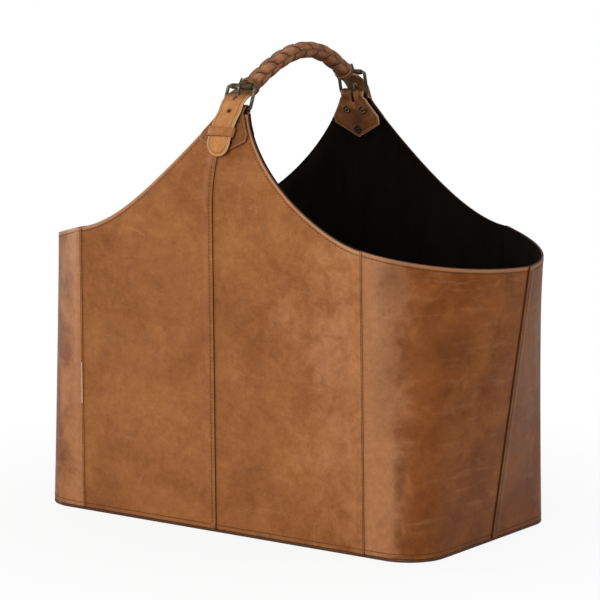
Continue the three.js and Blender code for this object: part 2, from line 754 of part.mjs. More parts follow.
function rodAlong(points, radius, sides, steps) {
  const shape = new THREE.Shape();
  for (let k = 0; k < sides; k += 1) {
    const turn = 2 * Math.PI * k / sides;
    const corner = [radius * Math.cos(turn), radius * Math.sin(turn)];
    if (k === 0) {
      shape.moveTo(...corner);
    } else {
      shape.lineTo(...corner);
    }
  }
  return new THREE.ExtrudeGeometry(shape, { steps, extrudePath: smoothCurve(points) });
}

function prongGeometry() {
  const width = 2 * PRONG_EYE_HALF_WIDTH;
  const eye = bushGeometry(PRONG_EYE_BORE_RADIUS, PRONG_EYE_RADIUS, width, RIVET_SIDES);
  eye.rotateZ(Math.PI / 2);
  const restOut = ROLLER_RADIUS + PRONG_REST_GAP + PRONG_RADIUS;
  const rootShare = 0.8;
  const rootUp = PRONG_EYE_RADIUS * rootShare;
  const points = [
    new THREE.Vector3(0, -CROSSING_OUT * rootUp / CROSSING_UP, rootUp),
    new THREE.Vector3(0, -CROSSING_OUT, CROSSING_UP),
    new THREE.Vector3(0, -restOut, BUCKLE_PITCH),
    new THREE.Vector3(0, -restOut + PRONG_TIP_DROOP, BUCKLE_PITCH + PRONG_TIP_REACH),
  ];
  return joined(eye, rodAlong(points, PRONG_RADIUS, WIRE_SIDES, PRONG_STEPS));
}

function addBuckle(group, name, side) {
  const buckle = new THREE.Group();
  const frame = buckleFrame(side);
  buckle.position.copy(frame.bar);
  buckle.rotation.x = -frame.tilt;
  addPiece(buckle, `${name}_buckle_frame`, wireFrameGeometry(), BUCKLE_LOOK);
  const straight = 2 * (BUCKLE_INNER_HALF_WIDTH - BUCKLE_CORNER_RADIUS + WIRE_RADIUS);
  const length = straight - ROLLER_SIDE_GAP;
  const roller = bushGeometry(ROLLER_BORE_RADIUS, ROLLER_RADIUS, length, ROUND_SIDES);
  const rollerMesh = addPiece(buckle, `${name}_roller`, roller.rotateZ(Math.PI / 2), BUCKLE_LOOK);
  rollerMesh.position.z = BUCKLE_PITCH;
  addPiece(buckle, `${name}_prong`, prongGeometry(), BUCKLE_LOOK);
  group.add(buckle);
}

// Strap and keeper

// The handle's end on one side, in that half's own place, with its direction into the strap
function handleEnd(side, angleDegrees) {
  const angle = THREE.MathUtils.degToRad(angleDegrees);
  const point = buckleFrame(side).at(HANDLE_END_UP, -HANDLE_END_INSIDE);
  const away = new THREE.Vector3(0, -Math.cos(angle), -Math.sin(angle));
  return { point, away, angle };
}

function strapCurve(side, end) {
  const buckle = buckleFrame(side);
  const keeperZ = side.peakZ - KEEPER_DROP;
  const tipZ = side.peakZ - STRAP_TIP_DROP;
  const onWall = (z) => offsetPoint(side, z, strapOffset(side, z));
  const tip = offsetPoint(side, tipZ, strapTipOffset(side, tipZ));
  return smoothCurve([
    end.point.clone().addScaledVector(end.away, -NECK_LENGTH),
    end.point,
    buckle.at(CROSSING_UP, CROSSING_OUT),
    buckle.at(BRIDGE_UP, BRIDGE_OUT),
    buckle.at(-BOW_DOWN, BOW_OUT),
    onWall(keeperZ + KEEPER_BAND),
    onWall(keeperZ),
    onWall(keeperZ - KEEPER_BAND),
    tip,
  ]);
}

function lengthAtHeight(curve, z) {
  const points = curve.getSpacedPoints(CURVE_DIVISIONS);
  const found = points.findIndex((point) => point.z < z);
  return curve.getLength() * found / CURVE_DIVISIONS;
}

function strapGeometry(side, end) {
  const curve = strapCurve(side, end);
  const total = curve.getLength();
  const half = STRAP_WIDTH / 2;
  const halfWidth = (length) => {
    const fromTip = total - length;
    const flare = THREE.MathUtils.smoothstep(length, NECK_LENGTH, NECK_LENGTH + STRAP_FLARE_LENGTH);
    const inTip = Math.max(0, 1 - fromTip / STRAP_TIP_RADIUS);
    const rounded = half - STRAP_TIP_RADIUS + STRAP_TIP_RADIUS * Math.sqrt(1 - inTip ** 2);
    return Math.min(rounded, NECK_HALF_WIDTH + (half - NECK_HALF_WIDTH) * flare);
  };
  const rows = [() => 0, () => NECK_LENGTH];
  const tipStart = total - STRAP_TIP_RADIUS;
  for (let i = 1; i < STRAP_ROWS; i += 1) {
    rows.push(() => NECK_LENGTH + (tipStart - NECK_LENGTH) * i / STRAP_ROWS);
  }
  STRAP_TIP_SHARES.forEach((share) => rows.push(() => total - share * STRAP_TIP_RADIUS));
  const strip = stripGeometry(curve, rows, STRAP_COLUMN_SHARES, halfWidth, STRAP);
  return cutFrom(strip, strapCuts(side, curve));
}

// The long slot that the prong comes through, and the spare hole below it
function strapCuts(side, curve) {
  const total = curve.getLength();
  const crossing = lengthAtHeight(curve, buckleFrame(side).at(CROSSING_UP, CROSSING_OUT).z);
  const cutterAt = (length, shape) => {
    const cutter = new THREE.ExtrudeGeometry(shape, { depth: CUT_OVERRUN, bevelEnabled: false });
    cutter.translate(0, 0, -CUT_OVERRUN / 2);
    const tangent = curve.getTangentAt(length / total);
    const across = new THREE.Vector3(1, 0, 0);
    const normal = across.clone().cross(tangent);
    const matrix = new THREE.Matrix4().makeBasis(across, tangent, normal);
    return cutter.applyMatrix4(matrix.setPosition(curve.getPointAt(length / total)));
  };
  const slot = new THREE.Shape();
  const reach = PRONG_SLOT_HALF_WIDTH;
  slot.absarc(0, PRONG_SLOT_BELOW - reach, reach, 0, Math.PI, false);
  slot.absarc(0, reach - PRONG_SLOT_ABOVE, reach, Math.PI, 2 * Math.PI, false);
  const hole = new THREE.Shape();
  hole.absarc(0, 0, HOLE_RADIUS, 0, 2 * Math.PI, false);
  return [cutterAt(crossing, slot), cutterAt(crossing + HOLE_PITCH, hole)];
}

function roundedBox(halfWidth, low, high) {
  const radius = KEEPER_CORNER_RADIUS;
  const shape = new THREE.Shape();
  shape.absarc(halfWidth - radius, low + radius, radius, -Math.PI / 2, 0, false);
  shape.absarc(halfWidth - radius, high - radius, radius, 0, Math.PI / 2, false);
  shape.absarc(radius - halfWidth, high - radius, radius, Math.PI / 2, Math.PI, false);
  shape.absarc(radius - halfWidth, low + radius, radius, Math.PI, 1.5 * Math.PI, false);
  return shape;
}

function keeperGeometry() {
  const innerHalf = (STRAP_WIDTH + KEEPER_CLEARANCE) / 2;
  const innerReach = (STRAP + KEEPER_CLEARANCE) / 2;
  const outerHalf = innerHalf + KEEPER_FRONT;
  const outline = roundedBox(outerHalf, -innerReach - KEEPER_BACK, innerReach + KEEPER_FRONT);
  const opening = new THREE.Path();
  opening.moveTo(-innerHalf, -innerReach);
  opening.lineTo(-innerHalf, innerReach);
  opening.lineTo(innerHalf, innerReach);
  opening.lineTo(innerHalf, -innerReach);
  opening.closePath();
  outline.holes.push(opening);
  const settings = { depth: KEEPER_BAND, bevelEnabled: false, curveSegments: KEEPER_CORNER_STEPS };
  return new THREE.ExtrudeGeometry(outline, settings).translate(0, 0, -KEEPER_BAND / 2);
}

function addStrap(group, name, side, end) {
  addPiece(group, `${name}_strap`, strapGeometry(side, end), STRAP_LOOK);
  const keeperZ = side.peakZ - KEEPER_DROP;
  const frame = middleFrame(side, keeperZ);
  const keeper = addPiece(group, `${name}_keeper`, keeperGeometry(), LEATHER_LOOK);
  const matrix = new THREE.Matrix4().makeBasis(new THREE.Vector3(-1, 0, 0), frame.out, frame.up);
  const centre = offsetPoint(side, keeperZ, strapOffset(side, keeperZ));
  keeper.applyMatrix4(matrix.setPosition(centre));
}

// Handle: the back end is turned into the front half's place

function handleCurve(front, back) {
  const frontArm = front.away.clone().multiplyScalar(-HANDLE_FRONT_ARM).add(front.point);
  const backPoint = turned(back.point);
  const backArm = turned(back.away).multiplyScalar(-HANDLE_BACK_ARM).add(backPoint);
  return new THREE.CubicBezierCurve3(front.point, frontArm, backArm, backPoint);
}

const turned = (point) => new THREE.Vector3(-point.x, -point.y, point.z);

function circleShape(radius, sides) {
  const shape = new THREE.Shape();
  shape.absarc(0, 0, radius, 0, 2 * Math.PI, false);
  const corners = shape.getSpacedPoints(sides).slice(0, sides);
  return new THREE.Shape(corners);
}

function collarPlacement(end) {
  const up = end.away.clone().negate();
  const across = new THREE.Vector3(1, 0, 0);
  const matrix = new THREE.Matrix4().makeBasis(across, up, across.clone().cross(up));
  return matrix.setPosition(end.point.clone().addScaledVector(up, COLLAR_LENGTH / 2));
}

function addHandle(group, ends) {
  const curve = handleCurve(ends.front, ends.back);
  const ring = circleShape(BRAID_RADIUS, ROUND_SIDES);
  ring.holes.push(circleShape(CORE_RADIUS + CORE_GAP, ROUND_SIDES));
  const sleeve = new THREE.ExtrudeGeometry(ring, { steps: HANDLE_STEPS, extrudePath: curve });
  addPiece(group, "handle_braid", sleeve, BRAID_LOOK);
  const setback = CORE_SETBACK / curve.getLength();
  const places = [];
  for (let i = 0; i <= HANDLE_STEPS; i += 1) {
    places.push(curve.getPointAt(setback + (1 - 2 * setback) * i / HANDLE_STEPS));
  }
  const core = rodAlong(places, CORE_RADIUS, WIRE_SIDES, HANDLE_STEPS);
  addPiece(group, "handle_core", core, END_LEATHER_LOOK);
}

function addCollar(group, name, end) {
  const bore = BRAID_RADIUS + COLLAR_GAP;
  const ring = bushGeometry(bore, bore + COLLAR, COLLAR_LENGTH, ROUND_SIDES);
  const collar = addPiece(group, `${name}_collar`, ring, BRAID_LOOK);
  collar.applyMatrix4(collarPlacement(end));
}

// Whole basket

function buildBasket() {
  const basket = new THREE.Group();
  const ends = {
    front: handleEnd(SIDES.front, HANDLE_FRONT_TILT),
    back: handleEnd(SIDES.back, HANDLE_BACK_TILT),
  };
  addBase(basket);
  for (const [name, side] of Object.entries(SIDES)) {
    const half = new THREE.Group();
    half.rotation.z = side.turn;
    addLongSide(half, name, side);
    addEnds(half, name, side);
    addChape(half, name, side);
    addBuckle(half, name, side);
    addStrap(half, name, side, ends[name]);
    addCollar(half, name, ends[name]);
    basket.add(half);
  }
  addHandle(basket, ends);
  return basket;
}

export default buildBasket();
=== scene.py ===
"""Leather magazine basket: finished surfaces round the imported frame, in metres.

The frame gives the places. The classes below make the leather panels with their lap seams, the linings, the
sole, the folded tabs, rivets, buckles, straps and the plaited handle, sew the rows of stitches, dress each
piece in its finish, and set up a plain white studio with the camera at the photograph's angle.
"""

import logging
import math
from dataclasses import dataclass, field
from enum import Enum
from typing import Callable, Sequence

import bpy
import numpy as np
from mathutils import Matrix, Vector


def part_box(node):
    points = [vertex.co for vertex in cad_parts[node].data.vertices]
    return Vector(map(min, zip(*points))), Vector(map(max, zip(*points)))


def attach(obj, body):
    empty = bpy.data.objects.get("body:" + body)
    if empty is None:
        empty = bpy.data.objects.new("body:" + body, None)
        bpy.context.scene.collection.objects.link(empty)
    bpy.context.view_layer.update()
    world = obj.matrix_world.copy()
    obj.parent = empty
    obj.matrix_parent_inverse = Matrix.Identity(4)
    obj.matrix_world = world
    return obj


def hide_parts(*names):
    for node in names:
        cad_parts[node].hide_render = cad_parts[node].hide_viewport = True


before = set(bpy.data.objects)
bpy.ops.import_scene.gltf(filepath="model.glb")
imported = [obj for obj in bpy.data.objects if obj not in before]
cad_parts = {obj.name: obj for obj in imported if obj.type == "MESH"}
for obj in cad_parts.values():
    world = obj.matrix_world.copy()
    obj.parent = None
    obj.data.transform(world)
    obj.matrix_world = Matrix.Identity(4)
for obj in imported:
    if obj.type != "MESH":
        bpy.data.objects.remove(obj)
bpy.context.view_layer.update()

log = logging.getLogger("basket")

MM = 0.001
ACROSS = np.array([1.0, 0.0, 0.0])

Array = np.ndarray
Piece = bpy.types.Object
Socket = bpy.types.NodeSocket
Pair = tuple[float, float]
Colour = tuple[float, float, float]
Place = tuple[float, float, float]
Arrays = tuple[Array, Array]
Values = dict[str, object]


class Body(Enum):
    """The bodies that pieces ride on."""

    BASKET = "basket"
    FRAME = "frame"
    PRONG = "prong"
    ROLLER = "roller"

    def of(self, side: str) -> str:
        """Name of this body on one side."""
        return self.value if self is Body.BASKET else f"{side}_{self.value}"


class Slot(Enum):
    """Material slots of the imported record."""

    BODY = "body_leather"
    END = "end_leather"
    STRAP = "strap_leather"
    BRAID = "braid_leather"
    CORE = "core_leather"
    LINING = "lining"
    BOARD = "board"
    BUCKLE = "buckle_metal"
    RIVET = "rivet_metal"


class Lap(Enum):
    """How a panel's edge meets its neighbour at a seam."""

    OVER = "over"
    UNDER = "under"
    BUTT = "butt"


def smoothstep(value: Array, low: float, high: float) -> Array:
    """Ease from 0 at low to 1 at high."""
    share = np.clip((np.asarray(value, float) - low) / (high - low), 0.0, 1.0)
    return share * share * (3.0 - 2.0 * share)


def unit(vectors: Array) -> Array:
    """Vectors scaled to length one."""
    return vectors / np.linalg.norm(vectors, axis=-1, keepdims=True)


def round_over(edge: Array, reach: float) -> Array:
    """Quarter circle that rises from 0 at an edge to 1 at a reach from it."""
    return np.sqrt(np.clip(1.0 - (1.0 - np.clip(edge / reach, 0.0, 1.0)) ** 2, 0.0, 1.0))


# Shape of the basket


@dataclass(frozen=True)
class Side:
    """A long side of the basket, described in the front's own place.

    Attributes:
        name: front or back.
        peak_z: height of the peak's flat top.
        lean: how far the peak leans in at its top.
        tilt: the buckle's lean from upright, in degrees.
        low: the basket's end that lies at -X of this half's own place.
        high: the end at +X.
    """

    name: str
    peak_z: float
    lean: float
    tilt: float
    low: str
    high: str

    def to_basket(self, points: Array) -> Array:
        """Points of this half's own place, turned into the basket's frame."""
        return points if self.name == "front" else points * np.array([-1.0, -1.0, 1.0])


FRONT = Side("front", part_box("front_lining")[1].z, 28.5 * MM, 22.0, "left", "right")
BACK = Side("back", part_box("back_lining")[1].z, 18.0 * MM, 15.0, "right", "left")


@dataclass
class WallForm:
    """Outer face of the wall: a plan at the foot blended into a rounder plan at the reference height.

    Place w runs along the wall of one half: 0 is the middle of the long side, -1 and 1 its corner seams, -2
    and 2 the middles of the ends, and past 2 it enters the other half.
    """

    foot_half_length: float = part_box("base_leather")[1].x
    foot_half_depth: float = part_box("base_leather")[1].y
    foot_corner_radius: float = 38.2 * MM
    foot_seam_x: float = 161.9 * MM
    foot_z: float = 2.8 * MM
    ref_height: float = 270.0 * MM
    ref_half_length: float = 259.8 * MM
    ref_half_depth: float = 120.4 * MM
    ref_seam_x: float = 159.6 * MM
    roundness: float = 1.59
    seam_rim_z: float = 273.0 * MM
    end_rim_z: float = 254.4 * MM
    end_rim_bow: float = 2.2
    peak_half_width: float = 16.5 * MM
    flank_bow: float = 0.89
    flank_flare: float = 1.5
    lean_start_z: float = 300.0 * MM
    thickness: float = 5.4 * MM
    end_angles: Array = field(init=False)
    end_lengths: Array = field(init=False)
    step: float = 0.004

    def __post_init__(self) -> None:
        """Measure the rounded end's plan, so that places on it go by length."""
        self.end_angles = np.linspace(0.0, math.pi / 2, 4000)
        x, y = self._end_curve(self.end_angles)
        self.end_lengths = np.concatenate([[0.0], np.cumsum(np.hypot(np.diff(x), np.diff(y)))])

    @property
    def end_length(self) -> float:
        """Length of the plan from a corner seam to the middle of the end."""
        return float(self.end_lengths[-1])

    def _end_curve(self, angle: Array) -> Arrays:
        """x and y of the end's superellipse at the reference height, by angle from its corner seam."""
        x, y = np.array([np.sin(angle), np.clip(np.cos(angle), 0.0, 1.0)]) ** (2.0 / self.roundness)
        return self.ref_seam_x + (self.ref_half_length - self.ref_seam_x) * x, -self.ref_half_depth * y

    def _foot_curve(self, share: Array) -> Arrays:
        """Plan of the end at the foot: straight, round corner, straight.

        Args:
            share: 0 at the corner seam to 1 at the end's middle, by length.

        Returns:
            The x and y of the points.
        """
        radius = self.foot_corner_radius
        run = self.foot_half_length - radius - self.foot_seam_x
        bend = radius * math.pi / 2
        length = share * (run + bend + self.foot_half_depth - radius)
        angle = np.clip(length - run, 0.0, bend) / radius
        x = self.foot_seam_x + np.minimum(length, run) + radius * np.sin(angle)
        return x, radius * (1.0 - np.cos(angle)) + np.maximum(length - run - bend, 0.0) - self.foot_half_depth

    def plan(self, w: Array, z: Array) -> Arrays:
        """Plan point of the outer face, before the peaks' lean.

        Args:
            w: place along the wall.
            z: height.

        Returns:
            The x and y of the points.
        """
        crossed = np.abs(w) > 2.0
        near = np.where(crossed, w - 4.0 * np.sign(w), w)
        past, short = np.clip(np.abs(near) - 1.0, 0.0, 1.0), 1.0 - np.minimum(np.abs(near), 1.0)
        foot_x, foot_y = self._foot_curve(past)
        top_x, top_y = self._end_curve(np.interp(past * self.end_length, self.end_lengths, self.end_angles))
        share = z / self.ref_height
        x = (foot_x - short * self.foot_seam_x) * (1.0 - share) + (top_x - short * self.ref_seam_x) * share
        turn = np.where(crossed, -1.0, 1.0)
        return x * np.sign(near) * turn, (foot_y + (top_y - foot_y) * share) * turn

    def lean(self, side: Side, z: Array) -> Array:
        """How far the wall leans in at a height."""
        share = np.maximum(0.0, z - self.lean_start_z) / (side.peak_z - self.lean_start_z)
        return side.lean * share**2

    def wall(self, side: Side, w: Array, z: Array, depth: Array) -> Array:
        """Point of the wall at a level depth behind its outer face.

        Args:
            side: the half that the place belongs to.
            w: place along the wall.
            z: height.
            depth: distance inwards from the outer face.

        Returns:
            Points in the basket's frame.
        """
        ahead, behind = self.plan(w + self.step, z), self.plan(w - self.step, z)
        tangent = unit(np.stack([ahead[0] - behind[0], ahead[1] - behind[1]], axis=-1))
        x, y = self.plan(w, z)
        inward = y + tangent[..., 0] * depth + self.lean(side, z)
        return side.to_basket(np.stack([x - tangent[..., 1] * depth, inward, z + 0.0 * x], axis=-1))

    def outward(self, side: Side, w: Array, z: Array) -> Array:
        """Level direction out of the wall at a place."""
        return unit(self.wall(side, w, z, np.zeros_like(w)) - self.wall(side, w, z, np.full_like(w, MM)))

    def rim(self, side: Side, w: Array) -> Array:
        """Height of the rim.

        Args:
            side: the half that the place belongs to.
            w: place along the wall.

        Returns:
            The rim's height at each place.
        """
        t = 2.0 - np.abs(2.0 - np.abs(w))
        dip = np.clip(2.0 - t, 0.0, 1.0) ** self.end_rim_bow
        end = self.end_rim_z + (self.seam_rim_z - self.end_rim_z) * dip
        run = self.ref_seam_x - self.peak_half_width
        share = np.clip(t * self.ref_seam_x - self.peak_half_width, 0.0, run) / run
        rise = (1.0 - share**self.flank_bow) ** self.flank_flare
        return np.where(t > 1.0, end, self.seam_rim_z + (side.peak_z - self.seam_rim_z) * rise)

    def flank(self, side: Side, z: Array) -> Array:
        """Half width of a peak between its flanks.

        Args:
            side: the peak's side.
            z: height.

        Returns:
            Half the width at each height.
        """
        rise = np.clip((z - self.seam_rim_z) / (side.peak_z - self.seam_rim_z), 0.0, 1.0)
        share = (1.0 - rise ** (1.0 / self.flank_flare)) ** (1.0 / self.flank_bow)
        return self.peak_half_width + share * (self.ref_seam_x - self.peak_half_width)

    def along(self, w: float) -> float:
        """Length of one unit of place, in the straight or the round stretch that w lies in."""
        return self.ref_seam_x if abs(w) < 1.0 else self.end_length


WALL = WallForm()


@dataclass(frozen=True)
class Station:
    """A place on a peak, a buckle or a strap, with its own up and out, and its lean."""

    point: Array
    up: Array
    out: Array
    angle: float = 0.0

    @classmethod
    def leaning(cls, point: Array, angle: float) -> "Station":
        """Station that leans in by an angle."""
        up = np.array([0.0, math.sin(angle), math.cos(angle)])
        return cls(point, up, np.array([0.0, -math.cos(angle), math.sin(angle)]), angle)

    def at(self, up: float, out: float) -> Array:
        """Point a distance up the station and out of it."""
        return self.point + self.up * up + self.out * out

    def round(self, across: Array, up: Array, out: Array) -> Array:
        """Points at distances across the station, up it and out of it."""
        return self.point + ACROSS * across[:, None] + self.up * up[:, None] + self.out * out[:, None]


@dataclass
class Peak:
    """Places that everything fastened on one peak shares, all in the front's own place."""

    side: Side
    chape: float = 2.0 * MM
    inner_gap: float = 0.5 * MM
    outer_gap: float = 1.2 * MM
    fold_rise: float = 3.0 * MM
    wire_radius: float = 1.6 * MM
    seat_gap: float = 0.3 * MM
    strap: float = 2.2 * MM
    layer_gap: float = 0.3 * MM
    rivet_head: float = 1.0 * MM
    keeper_back: float = 1.2 * MM
    keeper_clearance: float = 0.6 * MM
    fold_radius: float = field(init=False)
    fold: Station = field(init=False)
    buckle: Station = field(init=False)

    def __post_init__(self) -> None:
        """Find the tab's fold and the buckle's fixed bar."""
        z = self.side.peak_z + self.fold_rise
        station = self.station(z)
        self.fold_radius = (self.outer_chape(z) + self.inner_chape(z)) / 2.0
        middle = station.at(0.0, self.outer_chape(z) - self.fold_radius)
        self.fold = Station.leaning(middle, station.angle)
        lift = self.fold_radius - self.chape / 2.0 - self.wire_radius - self.seat_gap
        self.buckle = Station.leaning(self.fold.at(lift, 0.0), math.radians(self.side.tilt))

    def station(self, z: float) -> Station:
        """Mid-line of the wall in the middle of the side.

        Args:
            z: height.

        Returns:
            The place, with the wall's own up and out.
        """
        flare = (WALL.ref_half_depth - WALL.foot_half_depth) / WALL.ref_height
        rise = self.side.peak_z - WALL.lean_start_z
        above = max(0.0, z - WALL.lean_start_z) / rise
        angle = math.atan(2.0 * self.side.lean * above / rise - flare)
        y = -WALL.foot_half_depth - flare * z + self.side.lean * above**2 + WALL.thickness / 2.0
        return Station.leaning(np.array([0.0, y, z]), angle)

    def _half_wall(self, z: float) -> float:
        """Half the wall's thickness, square to the leaning wall."""
        return WALL.thickness / 2.0 * math.cos(self.station(z).angle)

    def inner_chape(self, z: float) -> float:
        """Offset of the tab's inner leg from the wall's mid-line."""
        return self._half_wall(z) + self.inner_gap + self.chape / 2.0

    def outer_chape(self, z: float) -> float:
        """Offset of the tab's outer leg from the wall's mid-line."""
        return self._half_wall(z) + self.outer_gap + self.chape / 2.0

    def strap_tip(self, z: float) -> float:
        """Offset of the strap's end, which rests on the tab."""
        return self.outer_chape(z) + self.chape / 2.0 + self.layer_gap + self.strap / 2.0

    def strap_run(self, z: float) -> float:
        """Offset of the strap where it clears the rivets and the keeper's back."""
        lift = self.rivet_head + self.layer_gap + self.keeper_back + self.keeper_clearance / 2.0
        return self.strap_tip(z) + lift

    def on_wall(self, z: float, offset: float) -> Array:
        """Point at a height and an offset out of the wall's mid-line."""
        return self.station(z).at(0.0, offset)


@dataclass
class Path:
    """A line followed by length: a seam's, or a strip's or rod's in the plane x = 0."""

    points: Array
    lengths: Array = field(init=False)

    def __post_init__(self) -> None:
        """Measure the line's dense points."""
        steps = np.linalg.norm(np.diff(self.points, axis=0), axis=1)
        self.lengths = np.concatenate([[0.0], np.cumsum(steps)])

    @property
    def total(self) -> float:
        """Whole length of the line."""
        return float(self.lengths[-1])

    @classmethod
    def through(cls, points: Sequence[Array]) -> "Path":
        """Centripetal Catmull-Rom curve through points.

        Args:
            points: the places that the line passes.

        Returns:
            The line, with forty steps between each pair of places.
        """
        places = [2.0 * points[0] - points[1], *points, 2.0 * points[-1] - points[-2]]
        share = np.linspace(0.0, 1.0, 41)[:-1, None]
        square, cube = share**2, share**3
        run = []
        for before, start, stop, after in zip(places, places[1:], places[2:], places[3:]):
            pairs = ((before, start), (start, stop), (stop, after))
            first, middle, last = (max(float(np.linalg.norm(b - a)), 1e-6) ** 0.5 for a, b in pairs)
            leave = (start - before) / first - (stop - before) / (first + middle) + (stop - start) / middle
            arrive = (stop - start) / middle - (after - start) / (middle + last) + (after - stop) / last
            ends = start * (2.0 * cube - 3.0 * square + 1.0) + stop * (3.0 * square - 2.0 * cube)
            ends = ends + leave * middle * (cube - 2.0 * square + share)
            run.append(ends + arrive * middle * (cube - square))
        return cls(np.vstack([*run, points[-1][None, :]]))

    def at(self, length: Array) -> Array:
        """Points at the given lengths."""
        return np.stack([np.interp(length, self.lengths, self.points[:, i]) for i in range(3)], axis=-1)

    def tangent(self, length: Array) -> Array:
        """Directions at the given lengths."""
        ahead = self.at(np.minimum(length + 0.8 * MM, self.total))
        return unit(ahead - self.at(np.maximum(length - 0.8 * MM, 0.0)))

    def normal(self, length: Array) -> Array:
        """Across cut with the tangent: the strip's outer face."""
        return np.cross(ACROSS, self.tangent(length))

    def beside(self, length: Array, across: Array, out: Array) -> Array:
        """Points beside the line at distances across it and out of it."""
        return self.at(length) + self.normal(length) * out[:, None] + ACROSS * across[:, None]

    def length_at_height(self, z: float) -> float:
        """First length at which the line has come down to a height."""
        return float(self.lengths[np.nonzero(self.points[:, 2] < z)[0][0]])


@dataclass(frozen=True)
class RoundedLoop:
    """A rectangle with round corners, walked by a share of its length."""

    half_width: float
    half_height: float
    radius: float

    def at(self, share: Array) -> tuple[Array, Array, Array, Array]:
        """Points of the loop.

        Args:
            share: 0 to 1 round the loop, from the middle of its right side upwards.

        Returns:
            x and y of the points, and of the directions out of the loop.
        """
        wide, high = self.half_width - self.radius, self.half_height - self.radius
        bend = self.radius * math.pi / 2.0
        runs = np.array([2.0 * high, 2.0 * wide, 2.0 * high, 2.0 * wide])
        starts = np.cumsum(runs + bend) - runs - bend
        total = float(np.sum(runs + bend))
        length = (share % 1.0 * total + high) % total
        quarter = np.searchsorted(starts, length, side="right") - 1
        past = length - starts[quarter] - runs[quarter]
        angle = quarter * math.pi / 2.0
        turn = angle + np.maximum(past, 0.0) / self.radius
        short = np.minimum(past, 0.0)
        x = wide * np.array([1, -1, -1, 1])[quarter] + self.radius * np.cos(turn) - np.sin(angle) * short
        y = high * np.array([1, 1, -1, -1])[quarter] + self.radius * np.sin(turn) + np.cos(angle) * short
        return x, y, np.cos(turn), np.sin(turn)


def rounded_section(share: Array, width: float, thickness: float, radius: float) -> Arrays:
    """Outline of a flat band's section, walked by share: across the band and out of it."""
    return RoundedLoop(width / 2.0, thickness / 2.0, radius).at(share)[:2]


# Hand tools


